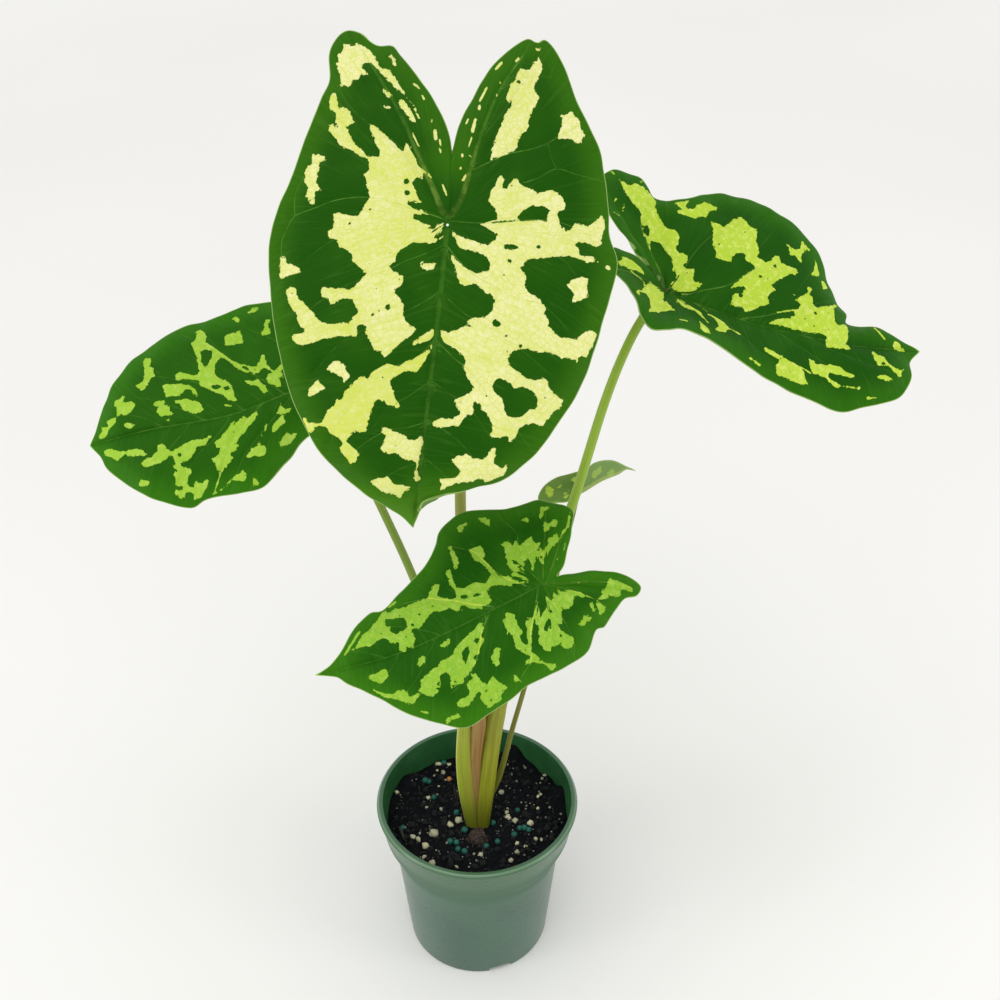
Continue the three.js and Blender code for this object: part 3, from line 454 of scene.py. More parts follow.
         1, -44, -2.5, -45.5, -1.5, -48, 3.5, -44, 2, -43, 3.5, -44, 6, -46.5, 7, -50, 10.5, -50, 13, -49,
         15),
        (0.7, -7.5, 14, -6, 14.5, -1, 9, 0, 6.5, -2, 2.5, -2, 1, -4.5, 1.5, -6.5, 3, -9, 3.5, -10, 2, -8,
         1.5, -14.5, 0, -21.5, -6.5, -21, -8.5, -21.5, -10, -20, -11, -16, -9.5, -23.5, -14, -30.5, -16,
         -35.5, -17, -36, -19, -38.5, -22, -41.5, -24.5, -47, -27.5, -49, -29.5, -47, -23.5, -49.5, -21.5,
         -49, -18, -46, -13, -44, -11, -41.5, -10.5, -39.5, -11.5, -30, -5, -29, -3.5, -29.5, -1, -28, 1,
         -24, 1.5, -20.5, 0.5, -19, 2.5, -20, 4, -19.5, 6, -17, 7, -14, 5.5, -13, 7.5, -13.5, 10, -8, 10.5,
         -7, 12),
        (0.5, 17, 2.5, 18, 0, 23.5, -9, 20, -8.5, 15.5, -9, 13.5, -11, 14.5, -14, 17, -14, 15.5, -15.5,
         13.5, -14.5, 13, -13, 1, -8.5, 3.5, -3.5, 3, -1.5, 5.5, -1, 9, -2, 13.5, 0),
        (0.6, -2, -14, 0, -12, 2, -23.5, 0.5, -24.5, -1.5, -23, -3.5, -22.5, -3.5, -19),
        (0.5, 17, 18, 13.5, 14, 11.5, 11, 12, 7, 9, 3.5, 5.5, 4, 5, 6.5, 8, 8.5, 10, 14),
        (0.5, 15.5, 32.5, 16, 31, 14.5, 29, 15, 27, 18.5, 25.5, 20, 20.5, 18, 21, 15.5, 22.5, 13.5, 22, 11,
         20, 10, 17, 9.5, 19, 10.5, 22.5, 11.5, 25.5, 14, 27.5, 14.5, 31.5),
        (0.5, 17, 12.5, 20, 15, 21, 16.5, 24, 18, 24, 15.5, 23, 13.5, 20, 13.5),
    ],
    "lower_front": [
        (0.5, 5.5, 85, 7.5, 80.5, 9.5, 78.5, 10, 77, 10, 75.5, 12.5, 72.5, 13, 70.5, 16.5, 67, 16, 65.5,
         14.5, 65.5, 14.5, 63, 15, 61.5, 14, 60, 13.5, 57, 14, 52.5, 13.5, 47.5, 18, 42.5, 17, 40.5,
         15, 41.5, 12.5, 43.5, 8, 37, 8.5, 36, 11, 35.5, 15, 36.5, 21.5, 35.5, 21, 34, 15, 34.5, 12.5, 34,
         11, 32.5, 11.5, 26.5, 9.5, 22.5, 10, 21, 12.5, 18.5, 19.5, 21, 20.5, 22.5, 27, 23.5, 26, 17.5,
         21.5, 17.5, 20.5, 19, 11, 16, 9, 12.5, 6, 10, 4, 9, 4.5, 13.5, 7, 19, 7, 21.5, 6, 23, 2, 23,
         1, 23.5, 0.5, 25, 1, 26.5, 0, 28, 2, 33, 3.5, 33.5, 4.5, 35, 4, 36.5, 2, 35.5, 3, 38, 5.5, 41,
         5.5, 44, 7, 48, 2.5, 55, 3.5, 56.5, 3, 58.5, 1, 59, -0.5, 58.5, -4.5, 61, -2.5, 63.5, -4.5, 64,
         -4, 65.5, -3, 67, 0, 65.5, 1.5, 69, 3, 69, 4.5, 70.5, 4.5, 73.5, 3.5, 77.5, 4.5, 78.5),
        (0.7, -8, 82.5, -7.5, 81, -8, 79, -7.5, 77, -7.5, 75, -9, 74, -11, 74.5, -12.5, 78, -11.5, 80,
         -9, 82.5),
        (0.5, -12.5, 83.5, -17.5, 80, -25.5, 69.5, -22.5, 65, -25.5, 61, -25, 57.5, -23, 56, -19.5, 55,
         -18.5, 54, -18.5, 52, -20, 51, -22.5, 51, -25.5, 52.5, -25, 48.5, -25.5, 47, -19.5, 38.5,
         -14.5, 34.5, -12.5, 31.5, -10, 33, -8, 30, -5.5, 30, -5, 31.5, -6.5, 33.5, -9.5, 42, -13.5, 47,
         -13.5, 52, -15, 54, -17, 61, -18, 63, -20.5, 64, -22.5, 67, -22, 70, -19.5, 69.5, -18, 73,
         -18.5, 76, -17, 78.5),
        (0.6, -13, 62, -11, 61.5, -9, 60, -8.5, 58.5, -9.5, 57, -11, 58, -13, 61),
        (0.5, -9, 49.5, -7.5, 50, -6.5, 47, -6.5, 45.5, -8.5, 46),
        (0.5, -38, 60, -36.5, 60, -35.5, 58, -36, 56, -35.5, 53.5, -37.5, 53.5, -37.5, 55.5, -37, 57.5,
         -38.5, 59),
        (0.5, -34.5, 52.5, -31, 52.5, -31, 47.5, -30, 46, -26, 45.5, -25.5, 43.5, -23, 41, -28, 39.5,
         -28.5, 38.5, -30, 38, -27.5, 34.5, -30, 33.5, -33.5, 30.5, -34.5, 30.5, -34, 33, -37.5, 34.5,
         -38.5, 39.5, -38.5, 41, -34, 43, -31.5, 41, -31, 42.5, -34.5, 48, -34, 50.5),
        (0.5, -24.5, 32, -22, 32.5, -20, 32, -17.5, 29.5, -17.5, 28, -18.5, 27.5, -24, 30),
        (0.5, -32.5, 27, -30.5, 26.5, -30.5, 25.5, -34, 24, -33, 25.5),
        (0.5, -14, 22.5, -12, 22, -7.5, 22, -7.5, 20, -5, 19.5, -5, 18.5, -6.5, 17.5, -7.5, 15.5, -9, 16.5,
         -16, 16, -16.5, 17.5, -19, 18, -20.5, 17, -21, 15.5, -18, 15, -12, 13, -11, 11.5, -11.5, 10,
         -9, 7.5, -5, 5, -12.5, 6.5, -11.5, 4.5, -9.5, 2.5, -5, 1, -8, -0.5, -4.5, -3, -6, -3.5, -4.5, -5,
         -6, -6, -5.5, -7.5, -9, -13, -11.5, -15, -12, -13.5, -10.5, -11.5, -10, -9.5, -14.5, -8, -13, -3.5,
         -14, -2.5, -17, -2, -18.5, -0.5, -18, 1, -20.5, 1, -25, -3, -28, -3, -29, 0.5, -28, 2.5, -26, 3.5,
         -25.5, 7, -27, 8, -26.5, 10, -21.5, 11.5, -19.5, 10, -16, 9, -13, 9.5, -17, 12.5, -24, 15.5,
         -30.5, 12, -32, 10, -32, 8, -34, 8, -34.5, 10, -33.5, 11.5, -31, 12.5, -29, 16, -28.5, 20,
         -27, 19.5, -26.5, 17, -25.5, 16.5, -24.5, 18, -20.5, 21, -15, 20.5, -13.5, 21.5),
        (0.5, -21, -6.5, -20.5, -8.5, -18, -11, -20.5, -14, -21.5, -12.5, -21, -11, -22.5, -9.5),
        (0.5, -19, -15, -15, -14.5, -14.5, -16.5, -16.5, -16.5, -18.5, -16),
        (0.6, -21, -17.5, -16, -17.5, -15, -18.5, -18.5, -21.5, -20, -20),
        (0.6, -15, -20, -14, -20, -13.5, -22.5, -12, -22, -11, -24.5, -8, -27.5, -12.5, -34, -15, -36,
         -16.5, -35.5, -16, -33.5, -14.5, -32.5, -14, -30.5, -16.5, -29.5, -15, -24.5, -15.5, -22),
        (0.5, 4, 7, 8, 11.5, 10, 10, 14, 10.5, 20.5, 9, 23, 9.5, 23.5, 7.5, 22, 5.5, 20, 5.5, 22, 3,
         19.5, 2.5, 21, -3.5, 18.5, -3.5, 17, -4, 17.5, -6, 15, -5, 13.5, -5.5, 15.5, -9, 17.5, -9.5,
         17.5, -12, 18, -14, 16, -14.5, 20.5, -20, 26.5, -24.5, 20.5, -21.5, 18.5, -19.5, 10.5, -6.5,
         10, -4.5, 7.5, -3.5, 9.5, -3, 10.5, -1, 6, 2, 10, 1.5, 12, 2, 12.5, 3.5, 6, 5.5, 3, 4.5),
        (0.6, 20.5, -8.5, 25.5, -11.5, 24, -13, 24.5, -16.5, 23, -17, 21, -15.5, 22, -13.5, 21, -11.5),
        (0.6, 27, -10, 32.5, -12.5, 31.5, -16.5, 30, -15.5, 30, -13.5, 28.5, -12.5),
        (0.5, 27, -4, 28.5, -4, 29.5, -2, 30, -3, 30, -4.5, 31, -5.5, 28.5, -5.5),
        (0.5, 35, 24, 38.5, 24, 38.5, 21, 39, 19.5, 37.5, 19, 37, 21, 35.5, 22.5),
        (0.5, 38.5, 14, 36, 13.5, 32.5, 11, 35.5, 9.5, 38, 12),
        (0.5, 20, 32.5, 30.5, 30.5, 31, 31.5, 32, 31, 31.5, 29, 22.5, 29, 21.5, 30.5, 20.5, 31),
    ],
    "small_back": [
        (0.6, -9.5, -11, -7, -10, -5, -12, -5.5, -14, -8, -14.5, -10, -13),
        (0.6, -7, -5.5, -6, -5.5, -6, -8, -7, -8.5),
        (0.6, -3, -3, -1.5, -4, -1, -6.5, -2, -7.5, -3.5, -6),
        (0.6, -9, 3, -7, 5, -5, 4, -6, 1, -8, 0),
        (0.6, -8, 13, -5, 15, -3, 13, -4, 10, -7, 10),
        (0.6, 4, 8, 6, 11, 8, 10, 7, 6, 5, 5),
        (0.6, 3, 17, 5, 20, 6, 17, 5, 14),
    ],
}
STROKES = {
    "large_front": [
        (0.55, -4, -15.3, -4.8, -17), (0.45, -2.6, -19.2, -2.6, -19.4), (0.3, -6.3, -24, -5.2, -24.5),
        (0.4, -2.8, -23.7, -2.8, -24.4), (0.35, -4.9, -27.5, -5.6, -31), (0.6, -5.8, -33.5, -6.3, -38),
        (0.35, -3.1, -36.3, -3.6, -38.3), (0.55, -7.3, -42.3, -7.2, -43.2),
        (0.45, -7.3, -45.5, -9.2, -50.5), (0.45, -13.2, -48, -13.3, -48.3),
        (0.4, -13.9, -52.8, -13.9, -53.3), (0.55, -12, -58.5, -13.7, -61), (0.5, -19, -62, -20, -63.5),
        (0.35, -26.5, -64, -27.5, -64.5), (0.4, 1, -9, 3, -12.5), (0.25, 5, -24, 5.7, -25.5),
        (0.5, 5.5, -27, 5.9, -28.5), (0.7, 7.5, -29, 8, -32), (0.3, 13.3, -25.5, 16, -30),
        (0.25, 9.7, -35, 9.7, -36.5), (0.4, 13.5, -43.5, 14.3, -45), (0.5, 15.5, -47.7, 17.8, -49),
    ],
    "left": [
        (0.35, -33.2, 58.5, -26, 53), (0.45, -15.5, 29.5, -13, 28.2), (0.4, 0.7, 43.8, -0.5, 41),
        (0.6, 13, 31, 16, 34, 20, 37, 25, 40.5, 30, 44.5, 35, 49.5), (0.35, -34, 60, -33, 55),
    ],
    "right": [
        (0.5, -7.8, 92.3, -2.8, 96.4), (0.35, 25, 64.5, 24, 61, 23.5, 58), (0.4, -4.4, 54.8, -1.1, 47.6),
        (0.4, -35.5, -24.5, -32, -25), (0.4, -37.5, -28.5, -34.5, -29), (0.3, -25, -21, -24.5, -21.5),
        (0.3, -28.5, -26, -29, -29), (0.5, -52.5, -18, -51, -19), (0.5, -51, -31, -53, -33),
        (0.35, 1.7, -18, 3.3, -14.1, 6.1, -11.9, 10, -11.9), (0.25, 3.5, 12, 6, 15, 8, 18),
        (0.3, 21.7, 7.6, 22.2, 4.2), (0.25, -12, 55, -12.4, 54), (0.25, -10, 52.5, -10.4, 52),
        (0.25, -9, 48.5, -9.3, 48), (0.3, -7, 45.3, -7.3, 45),
    ],
    "lower_front": [
        (0.6, 5, 88.3, 7.5, 85, 9.5, 82, 11.2, 79.2), (0.5, 16.9, 64, 17.5, 60.5),
        (0.5, -30.8, 65, -29.5, 67.7), (0.3, 2, 5, 4.5, 9), (0.3, 7.3, -9.5, 9.2, -11.5),
        (0.25, 10, -14, 13, -16), (0.3, -5, -14.1, -5, -14.6), (0.3, -2.8, -13, -2.9, -13.5),
        (0.3, -3.8, -15.2, -3.9, -15.6), (0.25, -5, -20.9, -5.1, -21.2), (0.25, -14.8, -18.7, -11.5, -15.2),
        (0.25, 34, 31.3, 36, 30.8),
    ],
    "small_back": [(0.4, -8, 18, -4, 22), (0.4, 2.5, 22, 2, 27)],
}
GAPS = {
    "large_front": [
        (-40, 64.5, -39.5, 66, -38, 65.8, -36, 67.5, -34.5, 69.2, -32, 69.8, -29.5, 69.6, -28, 67.5, -27.5,
         65.5, -26.5, 63, -25, 62.3, -23.5, 61, -23, 59, -23.5, 57, -25, 56, -27.5, 56.2, -29.5, 57.5,
         -30.5, 58.8, -32, 58.7, -34, 58, -36.5, 58.7, -38.5, 60, -40, 62),
        (-23.3, 36.2, -22, 37.2, -20.8, 36.8, -20, 35.3, -21.5, 34.2, -23, 35),
        (-27, 7.3, -25.8, 8.2, -22, 8.3, -21.5, 7, -23, 6.4, -26, 6.5),
        (-36.5, -4, -32, -4.2, -27, -3.5, -25, -3.2, -26, -5, -27.5, -7, -30, -9, -33, -9, -35, -9.5, -37.3,
         -8, -36.3, -6),
        (1.8, 5, 2.8, 7, 4.3, 6.7, 3.5, 5.2), (3, 3, 5.5, 4.3, 6.8, 3.8, 5, 2.9),
        (9, -4.2, 12, -4.5, 15.2, -5.5, 15, -4, 12, -3.7, 9.5, -3),
        (-13, -0.4, -18, -1.1, -24, -2.5, -33, -4, -24, -2.9, -18, -1.6),
    ],
    "left": [
        (20, 48.5, 24, 49.8, 29, 49.8, 29.5, 47, 28, 44.5, 25, 44.8, 22, 47),
        (8.5, 46, 10.5, 48, 11.5, 47.5, 10.5, 44.5, 9.5, 43),
    ],
    "right": [
        (-29, -13, -26, -11.8, -22.8, -11.9, -24.5, -14.2, -27.5, -14.9),
    ],
    "lower_front": [
        (4, 65.7, 6, 67, 8, 66.3, 9.3, 68.3, 11.8, 67, 11, 65, 10.3, 62.5, 9.5, 59.8, 7, 59.3, 5, 59.8, 4.3,
         62.5),
        (7, 29, 6.5, 26.5, 5.7, 25.8, 5.5, 27, 6.3, 29.5), (6.8, 33.5, 8, 34.5, 9, 33.5, 7.5, 31.5, 6, 31),
        (-18.5, 43, -17, 43.5, -14, 43, -12.8, 41, -12, 38.5, -14.5, 39.7, -16.5, 41.3),
        (-12.8, 35.5, -10.8, 36.7, -10.5, 35, -11.2, 33.5),
        (-19, 6.5, -18, 7.5, -15.5, 5.5, -14.8, 4, -16.5, 4), (5.5, 6.2, 8.5, 7.1, 8.3, 6.4, 6, 5.8),
        (-19.3, 39, -17.5, 39, -17, 37.7, -18.5, 38),
    ],
    "small_back": [],
}
DOTS = {
    "large_front": [
        (0.7, -26, 39.7), (0.7, -31.5, 43), (0.6, -27, 45.5), (0.8, -24.3, 12.3), (0.8, -34.3, 6),
        (1.1, 18.7, 34.2), (0.7, 24, 37.5), (1.0, 16, -8.5), (1.0, 16.6, -12.6), (0.4, 19.8, 14),
        (0.5, 36, 4.7), (0.7, -20.7, -54), (0.6, -18.7, -46.5), (0.4, -26.4, -46.7), (0.4, -21.3, -46),
        (0.4, -20.8, 63), (0.4, -11.3, 66.2), (0.4, -21.6, 59.5), (0.4, -27.5, 53.3), (0.35, 51.5, -3),
        (0.4, 37, 32.7), (0.4, 29, -1.2), (0.35, -21.5, 23.3),
    ],
    "left": [(0.9, -15, 68.2), (1.2, 7.8, 41.2), (0.5, 43.4, 22)],
    "right": [
        (0.9, 11, 95.9), (0.8, -5, 64.2), (0.9, -25, 45), (0.8, -17.2, 38.7), (0.8, -9.4, 32),
        (0.9, -5.2, 31.4), (0.5, -28.5, 19.2), (0.5, -38, 29.8), (0.4, 4, 75), (0.4, 1, 71), (0.4, -8, 70),
        (0.4, -1, 60), (0.4, 1.5, 64), (0.4, 27, 55), (0.4, 28, 57), (0.4, -15, 50), (0.4, -6, 36),
    ],
    "lower_front": [
        (0.7, 5, 57.5), (0.5, 8, 53), (0.5, 9, 46.7), (0.5, -23.5, 49.5), (0.5, -24, 46),
        (0.6, -36.3, 38.8), (0.6, -34, 35), (0.6, -32, 39.2), (0.9, 13, 7.3), (0.5, -23.3, 58),
        (0.5, -21.7, 57), (0.5, -29, 13.5), (0.5, -25.8, 3), (0.5, -22.8, 1.7), (0.4, -18.3, 4.5),
        (0.6, -12, 1.5), (0.5, 16, 2.8), (0.6, 12.5, 13), (0.6, 10.5, 5.8), (0.5, 11, -3.8),
        (0.5, 14.5, -3.8), (0.4, 7.5, 29.2),
    ],
    "small_back": [],
}

# Veins: (half width, strength, x, y, x, y, ...) from the leaf's centre or midrib outwards
VEINS = {
    "large_front": [
        (1.15, 0.8, 0, 0, 0, 29, 0.5, 63, 1, 93, 1, 106, 2, 115),
        (1.35, 0.85, 0, -1, -3, -5.5, -5, -12, -6.5, -20, -9, -33, -14, -50, -21, -64),
        (1.35, 0.85, 0.5, -1, 3.5, -5, 6, -10, 9.5, -16, 14, -24, 22, -38, 32, -52, 40, -62),
        (0.3, 0.9, -6.5, -19, -13, -23, -20, -27, -27, -29.5, -34, -33, -38, -36.5, -44, -41),
        (0.25, 0.7, -27, -17, -32, -19.5, -38, -23.5, -46, -22.7, -56, -22),
        (0.22, 0.6, -38, -23.5, -35.5, -28, -34, -33),
        (0.3, 0.8, 0, 0, 6, -1.5, 14, -2.8, 22, -4.8, 32, -5.3, 42, -3.5, 50, 0, 57.5, 3.3, 60.5, 9, 61.5,
         15, 60, 24),
        (0.22, 0.6, 57.5, 3.3, 58, -4, 56, -10, 52, -17),
        (0.3, 0.7, 0, 0, -12, -0.4, -22, -2, -33, -4.2, -44, -4, -54, -1),
        (0.28, 0.6, 0.5, 9, 8, 13.5, 14, 16.5, 20, 20.3, 27, 23.3, 34, 27, 41, 32, 48, 38, 54, 46),
        (0.28, 0.7, -0.5, 9, -6, 14.7, -13, 19.5, -21, 22.7, -29, 25.7, -37, 26.5, -43, 30, -50, 36.5),
        (0.28, 0.6, 1, 45, 6, 51, 13, 55, 20, 58.5, 26, 65, 30, 73, 34, 81, 36, 90),
        (0.28, 0.6, -1, 45, -8, 50.5, -14, 54.5, -19, 60, -24, 66, -31, 72, -38, 79),
        (0.25, 0.6, 1, 75, 7, 77.5, 14, 79.3, 20, 83, 25, 87.5, 30, 94),
        (0.25, 0.5, 0, 74, -7, 77.5, -14, 82, -20, 88), (0.22, 0.4, 1, 90, 8, 93, 14, 97, 19, 101),
        (0.22, 0.4, 0, 88, -6, 92, -12, 97), (0.25, 0.5, 1, 27, 9, 33, 18, 38, 28, 44, 37, 51, 44, 61),
        (0.25, 0.5, -1, 27, -9, 33, -18, 37, -30, 43, -42, 51), (0.22, 0.4, 1, 60, 8, 66, 15, 71, 20, 79),
        (0.22, 0.4, -1, 60, -9, 64.5, -17, 70, -24, 78),
        (0.25, 0.5, 13, -19, 20, -25, 27, -29.5, 34, -33.5, 41, -39, 46, -46),
        (0.22, 0.4, -14, -50, -22, -56, -33, -58), (0.22, 0.4, -40, 7.5, -46, 11, -52, 18),
        (0.22, 0.4, 30, 5, 38, 9, 45, 13.5, 51, 19), (0.2, 0.4, -8, -30, -15, -40, -20, -50),
    ],
    "left": [
        (0.4, 0.5, 0, 0, -2, 18, -4, 44, 1, 79, 4, 107),
        (0.3, 0.6, -2, 17, 5, 23, 13, 30.5, 20, 36.5, 28, 43, 36, 50.5, 42, 58),
        (0.28, 0.6, -4, 36, 3, 41.5, 9, 47, 15, 54, 19.5, 62, 24, 71),
        (0.25, 0.5, -3, 54, 4, 62, 10, 70, 16, 80), (0.25, 0.5, 0, 73, 6, 80, 12, 90),
        (0.28, 0.7, -3.5, 28, -10, 37, -18, 46, -27, 53, -34, 60),
        (0.25, 0.5, -4, 42, -8, 46, -13, 53, -16, 59, -22, 67, -28, 75),
        (0.25, 0.5, -2, 60, -8, 68, -13, 76, -16, 86),
        (0.25, 0.5, -1, 12, -8, 20, -14, 28.5, -20, 37, -26, 44),
        (0.25, 0.4, -0.5, 3, 12, 8, 24, 16, 34, 27, 44, 38), (0.5, 0.5, 0, 0, 6, -12, 15, -27, 24, -37),
        (0.5, 0.5, 0, 0, -5, -12, -12, -26),
    ],
    "right": [
        (0.4, 0.4, 0, 0, 6, 33, 7, 59, 4, 86, -3, 112),
        (0.35, 1.0, 1, 6, -4, 15, -9, 25, -15, 31, -21.5, 37, -24.5, 44, -26.5, 53),
        (0.28, 0.7, 5.5, 33, 2, 42, -1, 48, -4.5, 55, -9, 62, -14, 70),
        (0.25, 0.6, 0, 2, -10, 5, -20, 8.5, -29, 13, -37, 19, -45, 26),
        (0.38, 1.0, 0, 0, -8, -4, -16, -9.7, -23, -14, -30, -16, -42, -15.5, -50, -12),
        (0.25, 0.4, 3, 14, 9, 24, 15, 32, 22, 42, 28, 55), (0.25, 0.4, 6.5, 45, 12, 56, 18, 70, 22, 84),
        (0.25, 0.4, 7, 62, 11, 74, 13, 88, 14, 100), (0.4, 0.6, 0, 0, 6, -4, 14, -7, 24, -9),
        (0.5, 0.6, -1, -2, -12, -12, -24, -22, -40, -33), (0.5, 0.6, 1, -2, 2, -10, 3, -20, 6, -27),
        (0.25, 0.4, 6, 60, 2, 68, -4, 76),
    ],
    "lower_front": [
        (0.45, 0.4, 0, 0, -2, 23, -4, 59, -2, 82, 2, 101),
        (0.45, 1.0, -0.5, 24, 4, 32, 7.5, 37, 10.5, 42.5, 13.3, 47.5, 15, 55, 16, 62),
        (0.4, 1.0, 2, 7, 8, 13, 13.5, 16.8, 20.5, 19.5, 24, 20.7, 26.5, 23, 32, 30),
        (0.3, 0.7, 0, 0, 8, 3.3, 14, 3, 21, 2.5, 25, 1.5, 30, 3.2, 37, 6),
        (0.3, 0.6, 0, 0, 9, -4, 16, -7.5, 24, -11.5, 32, -15),
        (0.4, 1.0, -3, 26, -9, 31.8, -13, 34, -17.5, 37.3, -21, 40.5, -24.5, 45, -27, 52),
        (0.38, 1.0, 0, 2, -8, 7, -12.5, 10, -18, 13.3, -24, 15.2, -28, 17.5, -32, 23),
        (0.28, 0.7, 0, 0, -8, -0.7, -17, -2.2, -26, -3, -32, -1),
        (0.3, 0.8, 0, 0, -4, -6, -9, -12.5, -14.8, -18.7, -19, -22),
        (0.6, 0.5, 0, -1, -3, -8, -6, -18, -10, -28, -15, -36),
        (0.5, 0.5, 1, -2, 7, -8, 14, -14, 20.5, -20.5, 26, -24),
        (0.25, 0.4, -3.5, 48, 1, 54, 5, 60, 9, 68, 12, 76), (0.25, 0.4, -2.5, 74, 2, 80, 6, 87),
        (0.25, 0.4, -4, 50, -9, 56, -15, 62, -20, 70), (0.25, 0.4, -3, 66, -9, 73, -14, 82),
    ],
    "small_back": [
        (0.3, 0.8, 0, 0, 3, 12, 3, 21, 0, 34), (0.2, 0.5, 1, 5, -5, 8, -10, 14),
        (0.2, 0.5, 3, 14, -2, 18, -6, 23), (0.2, 0.5, 1, 5, 5, 8, 9, 14), (0.2, 0.5, 0, 0, -5, -6, -9, -14),
    ],
}

# Colours are screen values. Looks of each leaf: its marks' pale and warm colours, the colours of the fine
# net and of the veins that cross the marks, its dark and light greens, how far from the stalk green streaks
# split the marks, how strong the marks' pale patches are, and the slot that it belongs to
CREAM = (240, 237, 174)
CREAM_WARM = (206, 218, 88)
SPECK = (70, 84, 22)
SIDE_VEIN = (92, 142, 52)
FINE_VEIN = (104, 150, 60)
BROAD_VEIN = (72, 122, 34)
VEIN_AT_STALK = (124, 158, 62)
LEAF_RIM = (176, 206, 118)
# Painted highlight where the stalk meets the large leaf's blade, and how far along its midrib it lies
STALK_JOIN_HIGHLIGHT = (240, 244, 240)
STALK_JOIN_HIGHLIGHT_ALONG = 1.5
PALE_TIP = (104, 160, 44)
UNDERSIDE = (126, 158, 92)
UNDERSIDE_MIDRIB = (168, 186, 106)
LOOKS = {
    "large_front": {
        "pale": CREAM, "warm": CREAM_WARM, "net": (206, 218, 84), "veins": (186, 204, 70),
        "dark": (24, 80, 6), "light": (54, 110, 12), "streaks": 9.0, "patches": 0.15, "slot": "pale_leaf",
    },
    "left": {
        "pale": (172, 208, 76), "warm": (146, 192, 42), "net": (150, 196, 60), "veins": (190, 214, 90),
        "dark": (32, 90, 8), "light": (52, 118, 14), "streaks": 20.0, "patches": 0.5, "slot": "lime_leaf",
    },
    "right": {
        "pale": (204, 224, 92), "warm": (182, 212, 54), "net": (172, 206, 66), "veins": (206, 222, 104),
        "dark": (22, 80, 6), "light": (46, 108, 12), "streaks": 18.0, "patches": 0.6, "slot": "lime_leaf",
    },
    "lower_front": {
        "pale": (160, 200, 70), "warm": (142, 188, 44), "net": (120, 178, 56), "veins": (206, 222, 84),
        "dark": (26, 86, 8), "light": (58, 122, 16), "streaks": 24.0, "patches": 0.5, "slot": "lime_leaf",
    },
    "small_back": {
        "pale": (184, 208, 92), "warm": (170, 198, 66), "net": (160, 190, 70), "veins": (190, 214, 90),
        "dark": (78, 118, 44), "light": (120, 152, 76), "streaks": 9.0, "patches": 0.3, "slot": "lime_leaf",
    },
}


def linear(colour):
    """Screen values turned into the light that a shader works in."""
    light = [c / 255 / 12.92 if c < 11 else ((c / 255 + 0.055) / 1.055) ** 2.4 for c in colour]
    return (*light, 1.0)


